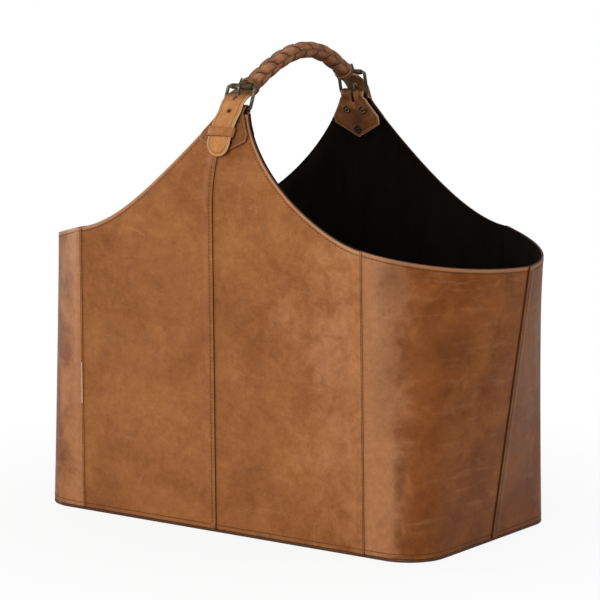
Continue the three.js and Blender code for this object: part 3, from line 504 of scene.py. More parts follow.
class Bench:
    """Blanks from Blender's primitives, and the ways to form, drill and finish them."""

    @staticmethod
    def pick(piece: Piece) -> None:
        """Select one piece alone.

        Args:
            piece: the piece.
        """
        bpy.ops.object.select_all(action="DESELECT")
        piece.select_set(True)
        bpy.context.view_layer.objects.active = piece

    @staticmethod
    def blank(name: str, shape: str, **settings: object) -> Piece:
        """Make one of Blender's primitives, with its place and scale applied.

        Args:
            name: the piece's name.
            shape: the primitive's name.
            **settings: its sizes and place.

        Returns:
            The piece, at the origin.
        """
        bpy.ops.object.select_all(action="DESELECT")
        getattr(bpy.ops.mesh, f"primitive_{shape}_add")(**settings)
        piece = bpy.context.object
        piece.name = name
        piece.data.name = name
        bpy.ops.object.transform_apply(location=True, rotation=True, scale=True)
        return piece

    @classmethod
    def plate(cls, name: str, columns: int, rows: int) -> tuple[Piece, Array]:
        """Flat blank one unit wide, long and thick.

        Args:
            name: the piece's name.
            columns: cells along X.
            rows: cells along Y.

        Returns:
            A closed plate from 0 to 1 along each axis, and its vertices' places.
        """
        cells = {"x_subdivisions": columns, "y_subdivisions": rows}
        piece = cls.blank(name, "grid", size=1.0, location=(0.5, 0.5, 1.0), **cells)
        cls.apply(piece, "SOLIDIFY", thickness=1.0, offset=-1.0)
        return piece, cls.coordinates(piece)

    @classmethod
    def ring(cls, name: str, around: int, section: int) -> tuple[Piece, Array, Array]:
        """Ring blank: a torus whose section can be given any outline.

        Args:
            name: the piece's name.
            around: cells round the ring.
            section: cells round its section.

        Returns:
            The ring, and each vertex's turn round it and round its section, both 0 to 1.
        """
        cells = {"major_segments": around, "minor_segments": section}
        piece = cls.blank(name, "torus", major_radius=2.0, minor_radius=1.0, **cells)
        x, y, z = cls.coordinates(piece).T
        return piece, np.arctan2(y, x) / math.tau % 1.0, np.arctan2(z, np.hypot(x, y) - 2.0) / math.tau % 1.0

    @classmethod
    def bead(cls, name: str, around: int, along: int) -> tuple[Piece, Array, Array]:
        """Round blank: a sphere that is turned or drawn out into a rod, closed at its poles.

        Args:
            name: the piece's name.
            around: cells round it.
            along: cells from pole to pole.

        Returns:
            The bead, and each vertex's share along its axis, 0 to 1, and angle round it.
        """
        piece = cls.blank(name, "uv_sphere", segments=around, ring_count=along, radius=1.0)
        x, y, z = cls.coordinates(piece).T
        return piece, np.arccos(np.clip(z, -1.0, 1.0)) / math.pi, np.arctan2(y, x)

    @staticmethod
    def coordinates(piece: Piece) -> Array:
        """Places of all vertices of a piece, a row each."""
        return np.array([vertex.co for vertex in piece.data.vertices])

    @staticmethod
    def across(blank: Array, crowding: float) -> Array:
        """Share across a plate, -1 to 1, with its columns closer together at the edges."""
        return np.sin((blank[:, 0] - 0.5) * math.pi * crowding) / math.sin(crowding / 2.0 * math.pi)

    @classmethod
    def form(cls, piece: Piece, points: Array) -> None:
        """Work a closed blank into shape and turn its faces outwards.

        Args:
            piece: the blank.
            points: where its vertices go, a row each.
        """
        piece.data.vertices.foreach_set("co", points.ravel())
        piece.data.update()
        cls.pick(piece)
        bpy.ops.object.mode_set(mode="EDIT")
        bpy.ops.mesh.select_all(action="SELECT")
        bpy.ops.mesh.normals_make_consistent(inside=False)
        bpy.ops.object.mode_set(mode="OBJECT")

    @staticmethod
    def apply(piece: Piece, kind: str, **settings: object) -> None:
        """Add one modifier to a piece and apply it.

        Args:
            piece: the piece.
            kind: the modifier's type.
            **settings: its values.
        """
        bpy.context.view_layer.objects.active = piece
        modifier = piece.modifiers.new(kind.lower(), kind)
        for name, value in settings.items():
            setattr(modifier, name, value)
        bpy.ops.object.modifier_apply(modifier=modifier.name)

    @classmethod
    def ease_edges(cls, piece: Piece, width: float, segments: int) -> None:
        """Round a piece's sharp edges."""
        angle = math.radians(55.0)
        cls.apply(piece, "BEVEL", width=width, segments=segments, limit_method="ANGLE", angle_limit=angle)

    @classmethod
    def combine(cls, piece: Piece, tool: Piece, operation: str) -> None:
        """Cut a tool out of a piece with DIFFERENCE, or weld it on with UNION, and use the tool up."""
        cls.apply(piece, "BOOLEAN", operation=operation, object=tool, solver="EXACT")
        bpy.data.objects.remove(tool, do_unlink=True)

    @staticmethod
    def tag(piece: Piece, name: str, values: Array) -> None:
        """Keep one number on each vertex for the finish to read."""
        attribute = piece.data.attributes.new(name, "FLOAT", "POINT")
        attribute.data.foreach_set("value", values.astype(np.float32))

    @classmethod
    def tag_edges(
        cls, piece: Piece, edge: Array, corner: Array | None = None, trim: Array | None = None
    ) -> None:
        """Keep the distances that the leather's lines and pale margins go by.

        Args:
            piece: the piece.
            edge: distance of each vertex from the nearest sewn or cut edge.
            corner: distance from a lapped corner seam, where there is one.
            trim: distance from an edge whose pale margin is partly rubbed wear and partly a painted
                highlight, where that isn't every edge.
        """
        cls.tag(piece, "edge", edge)
        cls.tag(piece, "corner", np.ones(len(edge)) if corner is None else corner)
        cls.tag(piece, "trim", edge if trim is None else trim)

    @classmethod
    def tag_plain(cls, piece: Piece) -> None:
        """Tag a piece that shows no worn or sewn edge."""
        cls.tag_edges(piece, np.full(len(piece.data.vertices), 0.02))

    @staticmethod
    def map_flat(piece: Piece, flat: Array) -> None:
        """Give a piece flat coordinates as its UV map.

        Args:
            piece: the piece.
            flat: metres along and across it, for each vertex.
        """
        layer = piece.data.uv_layers.active or piece.data.uv_layers.new(name="flat")
        corners = [corner.vertex_index for corner in piece.data.loops]
        layer.data.foreach_set("uv", flat[corners].ravel())


# Finishes


class Desk:
    """Short ways to lay out shader nodes in one tree."""

    def __init__(self, tree: bpy.types.NodeTree) -> None:
        """Work on a tree."""
        self.tree = tree

    def add(self, kind: str, inputs: dict | None = None, **settings: object) -> bpy.types.Node:
        """Add a node.

        Args:
            kind: the shader node's type.
            inputs: values or sockets by input name or number.
            **settings: the node's own settings.

        Returns:
            The node.
        """
        node = self.tree.nodes.new(f"ShaderNode{kind}")
        for name, value in settings.items():
            setattr(node, name, value)
        for key, value in (inputs or {}).items():
            self.feed(node.inputs[key], value)
        return node

    def feed(self, socket: Socket, value: object) -> None:
        """Link a socket to an input, or set the input's value.

        Args:
            socket: the input.
            value: a socket, a number, a vector or a colour.
        """
        if isinstance(value, bpy.types.NodeSocket):
            self.tree.links.new(value, socket)
        elif isinstance(value, tuple) and len(value) == 3 and socket.type == "RGBA":
            socket.default_value = (*value, 1.0)
        else:
            socket.default_value = value

    def maths(self, operation: str, *values: object, clamp: bool = False) -> Socket:
        """Result of a maths node."""
        node = self.add("Math", dict(enumerate(values)), operation=operation, use_clamp=clamp)
        return node.outputs[0]

    def vector(self, operation: str, inputs: dict, output: object = 0) -> Socket:
        """Result of a vector maths node."""
        return self.add("VectorMath", inputs, operation=operation).outputs[output]

    def blend(self, share: object, first: object, second: object, mode: str = "MIX") -> Socket:
        """Two colours mixed by a share."""
        inputs = {0: share, 6: first, 7: second}
        return self.add("Mix", inputs, data_type="RGBA", blend_type=mode).outputs[2]

    def noise(self, vector: Socket, scale: object, detail: float, rough: float, warp: float = 0.0) -> Socket:
        """Value of a noise pattern, about 0.5 in the middle."""
        values = {"Vector": vector, "Scale": scale, "Detail": detail, "Roughness": rough, "Distortion": warp}
        return self.add("TexNoise", values).outputs["Fac"]

    def cells(self, vector: Socket, scale: object, feature: str) -> Socket:
        """Distance in a cell pattern."""
        inputs = {"Vector": vector, "Scale": scale}
        return self.add("TexVoronoi", inputs, feature=feature).outputs["Distance"]

    def spread(self, value: Socket, low: float, high: float, start: float = 0.0, stop: float = 1.0) -> Socket:
        """Stretch a range of values to another, smoothly and clamped."""
        inputs = dict(enumerate((value, low, high, start, stop)))
        return self.add("MapRange", inputs, interpolation_type="SMOOTHSTEP").outputs[0]

    def bump(self, strength: float, distance: float, height: Socket) -> Socket:
        """Normal of a height pattern."""
        inputs = {"Strength": strength, "Distance": distance, "Height": height}
        return self.add("Bump", inputs).outputs[0]

    def attribute(self, name: str) -> Socket:
        """A number kept on the piece."""
        return self.add("Attribute", attribute_name=name).outputs["Fac"]

    def place(self, scale: Place = (1.0,) * 3, turn: Place = (0.0,) * 3, shift: Place = (0.0,) * 3) -> Socket:
        """Object coordinates for a pattern, scaled, turned in radians and shifted."""
        values = {"Vector": self.add("TexCoord").outputs["Object"], "Location": shift}
        return self.add("Mapping", {**values, "Rotation": turn, "Scale": scale}).outputs[0]

    def group(self, tree: bpy.types.NodeTree, values: Values) -> bpy.types.bpy_prop_collection:
        """Outputs of a shared group, placed with its own values."""
        return self.add("Group", values, node_tree=tree).outputs


def new_group(
    name: str, vectors: Sequence[str], floats: Sequence[str], outputs: Sequence[str]
) -> tuple[Desk, Socket, Socket]:
    """Start a shared node group.

    Args:
        name: the group's name.
        vectors: names of its vector inputs.
        floats: names of its number inputs.
        outputs: names of its outputs, which are all numbers.

    Returns:
        The desk to lay it out on, its inputs and its outputs.
    """
    tree = bpy.data.node_groups.new(name, "ShaderNodeTree")
    sockets = [(label, "INPUT", "NodeSocketVector") for label in vectors]
    sockets += [(label, "INPUT", "NodeSocketFloat") for label in floats]
    sockets += [(label, "OUTPUT", "NodeSocketFloat") for label in outputs]
    for label, way, kind in sockets:
        tree.interface.new_socket(label, in_out=way, socket_type=kind)
    return Desk(tree), tree.nodes.new("NodeGroupInput").outputs, tree.nodes.new("NodeGroupOutput").inputs


class SharedEffects:
    """Node groups that more than one finish uses, each built once."""

    def __init__(self) -> None:
        """Build the groups."""
        self.hide, self.grain, self.row = self._hide(), self._grain(), self._row()

    @staticmethod
    def _hide() -> bpy.types.NodeTree:
        """Masks of a waxed hide: clouds, blotches, flecks, mottles, rubbed streaks and fine scratches.

        Returns:
            The group.
        """
        masks = ("Cloud", "Blotch", "Fleck", "Scratch", "Mottle", "Streak")
        desk, start, stop = new_group("waxed_hide", ("Place",), ("Cloud Scale", "Blotch Scale"), masks)
        place = start["Place"]
        cloud = desk.noise(place, start["Cloud Scale"], 3.0, 0.55, 0.6)
        blotch = desk.noise(place, start["Blotch Scale"], 5.0, 0.6, 0.9)
        level = desk.vector("MULTIPLY", {0: place, 1: (1.0, 1.0, 5.0)})
        drift = desk.add("TexNoise", {"Vector": place, "Scale": 7.0, "Detail": 2.0})
        shrunk = desk.vector("SCALE", {0: drift.outputs["Color"], "Scale": 0.12})
        bent = desk.vector("ADD", {0: place, 1: shrunk})
        thin = desk.spread(desk.cells(bent, 14.0, "DISTANCE_TO_EDGE"), 0.0, 0.012, 1.0, 0.0)
        rare = desk.spread(desk.noise(place, 21.0, 2.0, 0.5), 0.58, 0.68)
        values = {
            "Cloud": desk.spread(cloud, 0.29, 0.71),
            "Blotch": desk.spread(blotch, 0.3, 0.7),
            "Fleck": desk.noise(place, 520.0, 3.0, 0.6),
            "Mottle": desk.noise(place, 170.0, 3.0, 0.65),
            "Streak": desk.spread(desk.noise(level, 24.0, 4.0, 0.6, 0.4), 0.53, 0.75),
            "Scratch": desk.maths("MULTIPLY", thin, rare),
        }
        for name, value in values.items():
            desk.feed(stop[name], value)
        return desk.tree

    @staticmethod
    def _grain() -> bpy.types.NodeTree:
        """Fine pebbled grain as a height.

        Returns:
            The group.
        """
        desk, start, stop = new_group("leather_grain", ("Place",), ("Scale",), ("Height",))
        soft = desk.noise(start["Place"], 240.0, 4.0, 0.6, 0.5)
        pores = desk.spread(desk.cells(start["Place"], start["Scale"], "F1"), 0.0, 0.75)
        height = desk.maths("ADD", desk.maths("MULTIPLY", pores, 0.45), desk.maths("MULTIPLY", soft, 0.8))
        desk.feed(stop["Height"], height)
        return desk.tree

    @staticmethod
    def _row() -> bpy.types.NodeTree:
        """A pressed line at a set distance from an edge: 1 on the line, 0 away from it.

        Returns:
            The group.
        """
        desk, start, stop = new_group("pressed_line", (), ("Edge", "Distance", "Width"), ("Line",))
        away = desk.maths("ABSOLUTE", desk.maths("SUBTRACT", start["Edge"], start["Distance"]))
        share = desk.maths("DIVIDE", away, start["Width"])
        desk.feed(stop["Line"], desk.maths("SUBTRACT", 1.0, share, clamp=True))
        return desk.tree


EFFECTS = SharedEffects()


def new_material(name: str) -> tuple[Desk, bpy.types.Material]:
    """Start a material.

    Args:
        name: its name.

    Returns:
        The desk to lay it out on and the material.
    """
    material = bpy.data.materials.new(name)
    material.use_nodes = True
    return Desk(material.node_tree), material


@dataclass(frozen=True)
class Look:
    """A finish: its material's name, its darkest and lightest colour, and what its shader is fed."""

    name: str
    dark: Colour
    light: Colour

    def inputs(self, desk: Desk) -> Values:
        """Values and sockets for the shader, by input name."""
        raise NotImplementedError

    def material(self) -> bpy.types.Material:
        """The finish's material, made when it is first used.

        Returns:
            The material.
        """
        if self.name in bpy.data.materials:
            return bpy.data.materials[self.name]
        desk, material = new_material(self.name)
        shader = desk.tree.nodes["Principled BSDF"]
        for key, value in self.inputs(desk).items():
            desk.feed(shader.inputs[key], value)
        return material


@dataclass(frozen=True)
class Leather(Look):
    """Waxed leather: clouded colour, pebbled grain, dark edges, pale margins, pressed lines, and painted
    highlights and shade.

    Attributes:
        middle: colour between the clouds' dark and light.
        edge, margin: colours of the cut edge and of the pale margin beside it, partly rubbed wear and partly
            a painted highlight on the rounded edge.
        line: colour of the pressed lines.
        stain_and_shade, rub: colours of dark stains and painted shade, and of painted highlights and pale
            patches.
        edge_width, margin_width: how far the edge's and the margin's colours reach in.
        margin_share: how strongly the margin shows.
        line_distance, corner_distance: distance of the pressed line from the edge and from a corner seam.
        line_width, line_share, line_depth: its half width, darkness and depth beside the grain's.
        cloud_scale, blotch_scale: sizes of the clouds, per metre.
        blotch_share, middle_share: how much of the blotches and of the middle colour is mixed in.
        fleck, mottle: darkest and lightest shade of the fine pattern.
        scratch_share, streak_share: how strongly fine scratches and rubbed level streaks show.
        highlight_drift: how much clouds and blotches move the border of the painted highlights and pale
            patches, and their mean.
        roughness: lowest and highest roughness.
        grain_scale, grain_height, ripple: pores per metre, depth of the grain, and the ripple beside it.
        sheen: waxy coat on top.
        shift: place in the pattern that the hide is cut from.
    """

    middle: Colour
    edge: Colour
    margin: Colour
    line: Colour = (0.075, 0.022, 0.005)
    stain_and_shade: Colour = (0.12, 0.042, 0.014)
    rub: Colour = (0.4, 0.17, 0.07)
    edge_width: float = 0.6 * MM
    margin_width: float = 3.4 * MM
    margin_share: float = 0.4
    line_distance: float = 4.2 * MM
    corner_distance: float = 0.9 * MM
    line_width: float = 0.7 * MM
    line_share: float = 0.72
    line_depth: float = 3.0
    cloud_scale: float = 11.0
    blotch_scale: float = 62.0
    blotch_share: float = 0.36
    middle_share: float = 0.3
    fleck: Pair = (0.93, 1.055)
    mottle: Pair = (0.92, 1.07)
    scratch_share: float = 0.2
    streak_share: float = 0.12
    highlight_drift: Place = (0.34, 0.2, 0.27)
    roughness: Pair = (0.34, 0.52)
    grain_scale: float = 900.0
    grain_height: float = 0.09 * MM
    ripple: float = 2.2
    sheen: float = 0.06
    shift: Place = (0.0, 0.0, 0.0)

    def inputs(self, desk: Desk) -> Values:
        """Values and sockets for the shader.

        Args:
            desk: the material's desk.

        Returns:
            Values and sockets by input name.
        """
        place = desk.place(shift=self.shift)
        scales = {"Place": place, "Cloud Scale": self.cloud_scale, "Blotch Scale": self.blotch_scale}
        hide = desk.group(EFFECTS.hide, scales)
        edge = desk.attribute("edge")
        beside_edge = self._line(desk, edge, self.line_distance)
        beside_corner = self._line(desk, desk.attribute("corner"), self.corner_distance)
        lines = desk.maths("MAXIMUM", beside_edge, beside_corner)
        wax = desk.maths("MULTIPLY_ADD", hide["Fleck"], 0.4, desk.maths("MULTIPLY", hide["Blotch"], 0.6))
        grain = desk.group(EFFECTS.grain, {"Place": place, "Scale": self.grain_scale})["Height"]
        height = desk.maths("MULTIPLY_ADD", desk.noise(place, 26.0, 3.0, 0.5), self.ripple, grain)
        sunk = desk.maths("MULTIPLY_ADD", lines, -self.line_depth, height)
        return {
            "Base Color": self._colour(desk, hide, edge, lines),
            "Roughness": desk.spread(wax, 0.0, 1.0, *self.roughness),
            "Normal": desk.bump(0.6, self.grain_height, sunk),
            "Coat Weight": self.sheen,
            "Coat Roughness": 0.3,
            "Specular IOR Level": 0.32,
            "Specular Tint": (1.0, 0.8, 0.6),
        }

    def _line(self, desk: Desk, edge: Socket, distance: float) -> Socket:
        """Pressed line beside an edge."""
        values = {"Edge": edge, "Distance": distance, "Width": self.line_width}
        return desk.group(EFFECTS.row, values)["Line"]

    def _colour(self, desk: Desk, hide: Socket, edge: Socket, lines: Socket) -> Socket:
        """Clouded colour with its painted highlights and pale patches, margin, lines, edge, and its stains
        and painted shade laid over it in order.

        Args:
            desk: the material's desk.
            hide: the masks of the hide.
            edge: distance from the edge.
            lines: the pressed lines.

        Returns:
            The colour.
        """
        cloud, blotch = hide["Cloud"], hide["Blotch"]
        clouded = desk.blend(cloud, self.dark, self.light)
        mixed = desk.blend(self.blotch_share, clouded, desk.blend(blotch, self.dark, self.light))
        # Border of the painted highlight and pale patches, moved by the clouds and blotches.
        by_cloud, by_blotch, mean = self.highlight_drift
        drift = desk.maths("MULTIPLY_ADD", blotch, by_blotch, desk.maths("MULTIPLY", cloud, by_cloud))
        reach = desk.maths("SUBTRACT", desk.maths("ADD", desk.attribute("rub"), drift), mean)
        fleck = desk.spread(hide["Fleck"], 0.35, 0.65, *self.fleck)
        shade = desk.maths("MULTIPLY", fleck, desk.spread(hide["Mottle"], 0.32, 0.68, *self.mottle))
        grey = desk.add("CombineColor", {0: shade, 1: shade, 2: shade}).outputs[0]
        trim, width = desk.attribute("trim"), self.margin_width
        patchy = desk.spread(blotch, 0.0, 1.0, 0.65, 1.0)
        colour = desk.blend(self.middle_share, mixed, self.middle)
        for share, layer, *mode in (
            (desk.maths("MULTIPLY", hide["Streak"], self.streak_share), self.margin),
            # painted highlight beside the corner seams, on the lace crowns and below the tab's fold, with
            # pale patches on the front
            (desk.spread(reach, 0.28, 0.84, 0.0, 0.85), self.rub),
            (1.0, grey, "MULTIPLY"),
            (desk.maths("MULTIPLY", hide["Scratch"], self.scratch_share), self.margin),
            # pale margin along the trimmed edge: partly rubbed wear, partly a painted highlight on the
            # rounded edge
            (desk.spread(trim, width * 0.55, width, self.margin_share, 0.0), self.margin),
            (desk.maths("MULTIPLY", lines, self.line_share), self.line),
            (desk.spread(edge, self.edge_width * 0.5, self.edge_width, 1.0, 0.0), self.edge),
            # dark stains and patches, and painted shade inside the buckle, over the tab's fold and between
            # the laces
            (desk.maths("MULTIPLY", desk.attribute("stain_and_shade"), patchy), self.stain_and_shade),
        ):
            colour = desk.blend(share, colour, layer, *mode)
        return colour


@dataclass(frozen=True)
class Suede(Look):
    """Near-black napped lining."""

    def inputs(self, desk: Desk) -> Values:
        """Values and sockets for the shader.

        Args:
            desk: the material's desk.

        Returns:
            Values and sockets by input name.
        """
        nap = desk.noise(desk.place(), 1400.0, 4.0, 0.7)
        brushed = desk.noise(desk.place((1.0, 1.0, 0.35)), 40.0, 3.0, 0.6, 0.8)
        share = desk.maths("MULTIPLY_ADD", nap, 0.4, desk.maths("MULTIPLY", brushed, 0.6))
        return {
            "Base Color": desk.blend(desk.spread(share, 0.3, 0.7), self.dark, self.light),
            "Roughness": desk.spread(nap, 0.3, 0.7, 0.86, 1.0),
            "Normal": desk.bump(0.5, 0.12 * MM, nap),
            "Specular IOR Level": 0.05,
        }


@dataclass(frozen=True)
class Fibreboard(Look):
    """Bonded leather fibre board."""

    def inputs(self, desk: Desk) -> Values:
        """Values and sockets for the shader.

        Args:
            desk: the material's desk.

        Returns:
            Values and sockets by input name.
        """
        fibres = desk.noise(desk.place((1.0, 1.0, 6.0)), 300.0, 5.0, 0.7)
        return {
            "Base Color": desk.blend(desk.spread(fibres, 0.35, 0.65), self.dark, self.light),
            "Roughness": desk.spread(fibres, 0.3, 0.7, 0.8, 0.95),
            "Normal": desk.bump(0.4, 0.1 * MM, fibres),
        }


@dataclass(frozen=True)
class Brass(Look):
    """Antique brass: dark patina that is rubbed through to the light metal in places."""

    rubbed: Pair = (0.4, 0.68)

    def inputs(self, desk: Desk) -> Values:
        """Values and sockets for the shader.

        Args:
            desk: the material's desk.

        Returns:
            Values and sockets by input name.
        """
        wear = desk.noise(desk.place(), 150.0, 4.0, 0.65, 0.5)
        specks = desk.noise(desk.place(), 1600.0, 3.0, 0.6)
        share = desk.spread(wear, *self.rubbed)
        colour = desk.blend(share, self.dark, self.light)
        return {
            "Base Color": desk.blend(desk.spread(specks, 0.55, 0.75, 0.0, 0.5), colour, self.dark),
            "Metallic": desk.spread(share, 0.0, 1.0, 0.75, 1.0),
            "Roughness": desk.spread(wear, 0.3, 0.7, 0.6, 0.42),
            "Normal": desk.bump(0.35, 0.06 * MM, specks),
        }


@dataclass(frozen=True)
class Thread(Look):
    """Waxed, twisted sewing thread."""

    def inputs(self, desk: Desk) -> Values:
        """Values and sockets for the shader.

        Args:
            desk: the material's desk.

        Returns:
            Values and sockets by input name.
        """
        twist = desk.noise(desk.place(turn=(0.6, 0.0, 0.8)), 2200.0, 2.0, 0.5)
        along = desk.maths("MULTIPLY", desk.noise(desk.place(), 30.0, 3.0, 0.6), 0.5)
        shade = desk.spread(desk.maths("MULTIPLY_ADD", twist, 0.5, along), 0.35, 0.65)
        return {
            "Base Color": desk.blend(shade, self.dark, self.light),
            "Roughness": desk.spread(twist, 0.3, 0.7, 0.6, 0.8),
            "Normal": desk.bump(0.5, 0.08 * MM, twist),
            "Specular IOR Level": 0.12,
        }


class Finish(Enum):
    """What each kind of part is made of: its slot in the record and its look.

    A leather's first colours are its dark, light, middle, edge and margin.
    """

    # On the walls, the highlight colour is a painted highlight beside the corner seams and also colours pale
    # patches; the stain colour colours darker patches.
    BODY = Slot.BODY, Leather(
        "tan_body_leather", (0.192, 0.059, 0.0135), (0.375, 0.143, 0.043), (0.272, 0.092, 0.0235),
        (0.08, 0.026, 0.007), (0.5, 0.25, 0.13), stain_and_shade=(0.16, 0.05, 0.0115),
        margin_share=0.62, margin_width=3.8 * MM, shift=(0.37, 0.0, 0.21),
    )
    END = Slot.END, Leather(
        "brown_end_leather", (0.115, 0.025, 0.0033), (0.32, 0.106, 0.025), (0.2, 0.055, 0.0095),
        (0.07, 0.022, 0.006), (0.42, 0.2, 0.1), stain_and_shade=(0.1, 0.021, 0.0022),
        margin_share=0.62, margin_width=3.8 * MM, cloud_scale=18.0, blotch_scale=44.0,
        roughness=(0.32, 0.5), sheen=0.0, streak_share=0.26,
    )
    SOLE = Slot.END, Leather(
        "dark_sole_leather", (0.05, 0.022, 0.011), (0.1, 0.046, 0.022), (0.075, 0.034, 0.017),
        (0.02, 0.01, 0.005), (0.08, 0.04, 0.02), line_share=0.0,
    )
    # On both tabs the stain colour paints shade over the fold and a darker spot lower down, and the highlight
    # colour paints a band of light just below the fold.
    FRONT_TAB = Slot.BODY, Leather(
        "tan_tab_leather", (0.15, 0.048, 0.013), (0.29, 0.105, 0.032), (0.21, 0.07, 0.019),
        (0.13, 0.054, 0.022), (0.33, 0.13, 0.046), rub=(0.24, 0.085, 0.026),
        edge_width=0.5 * MM, line_distance=3.0 * MM, line_share=0.75, cloud_scale=60.0, blotch_scale=120.0,
    )
    BACK_TAB = Slot.BODY, Leather(
        "brown_tab_leather", (0.07, 0.02, 0.006), (0.24, 0.085, 0.025), (0.145, 0.045, 0.013),
        (0.34, 0.2, 0.11), (0.26, 0.105, 0.036), line=(0.03, 0.012, 0.006),
        stain_and_shade=(0.035, 0.013, 0.006), rub=(0.33, 0.13, 0.05),
        edge_width=0.9 * MM, line_distance=3.2 * MM, line_share=0.9, cloud_scale=52.0, blotch_scale=95.0,
    )
    KEEPER = Slot.BODY, Leather(
        "tan_keeper_leather", (0.27, 0.095, 0.026), (0.44, 0.18, 0.058), (0.35, 0.13, 0.038),
        (0.14, 0.058, 0.022), (0.4, 0.16, 0.05),
        edge_width=0.4 * MM, line_distance=1.3 * MM, line_share=0.35, cloud_scale=60.0, blotch_scale=120.0,
    )
    # The strap's pale edge colour is its cut edge, partly a painted highlight along its edges.
    STRAP = Slot.STRAP, Leather(
        "natural_strap_leather", (0.36, 0.14, 0.038), (0.55, 0.245, 0.085), (0.45, 0.185, 0.056),
        (0.56, 0.37, 0.22), (0.54, 0.25, 0.09), line=(0.1, 0.04, 0.015),
        edge_width=0.45 * MM, margin_width=2.6 * MM, line_distance=3.0 * MM, line_share=0.85,
        cloud_scale=40.0, blotch_scale=110.0,
    )
    # The lace's stain colour is painted shade at the lace edges and where laces dive under, and also darkens
    # the back end; its highlight colour is painted on the lace crowns.
    BRAID = Slot.BRAID, Leather(
        "plaited_lace_leather", (0.15, 0.048, 0.018), (0.42, 0.165, 0.064), (0.27, 0.097, 0.038),
        (0.03, 0.012, 0.006), (0.26, 0.1, 0.038), stain_and_shade=(0.05, 0.019, 0.009), rub=(0.5, 0.22, 0.085),
        edge_width=0.9 * MM, margin_share=0.2, line_share=0.0, cloud_scale=34.0, blotch_scale=120.0,
    )
    CORE = Slot.CORE, BRAID[1]
    # The binding's pale edge colour is a painted highlight along the edges of its turns.
    BINDING = Slot.BRAID, Leather(
        "bound_lace_leather", (0.07, 0.023, 0.009), (0.22, 0.085, 0.031), (0.13, 0.047, 0.017),
        (0.3, 0.18, 0.1), (0.13, 0.048, 0.018),
        edge_width=0.32 * MM, line_share=0.0, cloud_scale=60.0, blotch_scale=150.0,
    )
    LINING = Slot.LINING, Suede("napped_lining", (0.0018, 0.0009, 0.0003), (0.0046, 0.0026, 0.0012))
    BOARD = Slot.BOARD, Fibreboard("fibre_board", (0.2, 0.155, 0.105), (0.33, 0.265, 0.185))
    BUCKLE = Slot.BUCKLE, Brass("antique_buckle_brass", (0.05, 0.041, 0.026), (0.2, 0.17, 0.11))
    RIVET = Slot.RIVET, Brass("antique_rivet_brass", (0.1, 0.056, 0.026), (0.19, 0.125, 0.06), (0.5, 0.72))
    DARK_RIVET = Slot.RIVET, Brass("dark_rivet_brass", (0.022, 0.013, 0.008), (0.07, 0.04, 0.02), (0.55, 0.8))
    THREAD = Slot.BODY, Thread("dark_thread", (0.07, 0.022, 0.006), (0.14, 0.05, 0.015))
    WORN_THREAD = Slot.BODY, Thread("worn_thread", (0.5, 0.32, 0.18), (0.9, 0.74, 0.52))


def settle(
    piece: Piece, finish: Finish, *nodes: str, angle: float = 35.0, body: str = Body.BASKET.value
) -> None:
    """Shade and dress a finished piece and hand it to the frame.

    Args:
        piece: the finished piece, at the origin.
        finish: its finish.
        *nodes: the frame's nodes that it stands for.
        angle: how sharp an edge has to be to stay sharp, in degrees.
        body: the body that it rides on.
    """
    Bench.pick(piece)
    bpy.ops.object.shade_smooth_by_angle(angle=math.radians(angle))
    slot, look = finish.value
    piece.data.materials.clear()
    piece.data.materials.append(look.material())
    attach(piece, body)
    if nodes:
        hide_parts(*nodes)
    log.info("%s: %d faces on %s", piece.name, len(piece.data.polygons), body)


# Walls


@dataclass(frozen=True)
class Edge:
    """One upright edge of a wall layer: where the seam is and how the layer meets it."""

    w: float
    lap: Lap
    corner: bool = False


@dataclass(frozen=True)
class Layer:
    """A layer of the wall between two edges.

    Attributes:
        name: the piece's name.
        node: the frame's node that it stands for.
        side: the half that it belongs to.
        low, high: its edges.
        depth: how far its outer face lies behind the wall's face.
        thickness: its thickness, which is not used.
        tuck: how far its top stays below the rim.
    """

    name: str
    node: str
    side: Side
    low: Edge
    high: Edge
    depth: float = 0.0
    thickness: float = 2.1 * MM
    tuck: float = 0.0

    @property
    def finish(self) -> Finish:
        """What the layer is made of, by its node."""
        hidden = {"lining": Finish.LINING, "board": Finish.BOARD}
        return hidden.get(self.node.split("_")[-1], Finish.END if "end" in self.node else Finish.BODY)

    def edges(self) -> tuple[tuple[Edge, float], ...]:
        """Both edges, each with the way from it into the layer."""
        return (self.low, 1.0), (self.high, -1.0)

    @staticmethod
    def inward(edge: Edge, way: float, w: Array) -> Array:
        """Distance of places from an edge, into the layer."""
        return way * (w - edge.w) * WALL.along(edge.w + way * 0.01)


@dataclass(frozen=True)
class Mark:
    """A soft patch laid over the leather's colour, in millimetres: its place, its reach and its strength."""

    along: float
    height: float
    half_length: float
    half_height: float
    strength: float

    def share(self, along: Array, z: Array) -> Array:
        """Strength of the mark.

        Args:
            along: distances along the leather.
            z: heights, or distances across it.

        Returns:
            The strength at each place.
        """
        level = (along / MM - self.along) / self.half_length
        upright = (z / MM - self.height) / self.half_height
        return self.strength * np.exp(-(level**2) - upright**2)


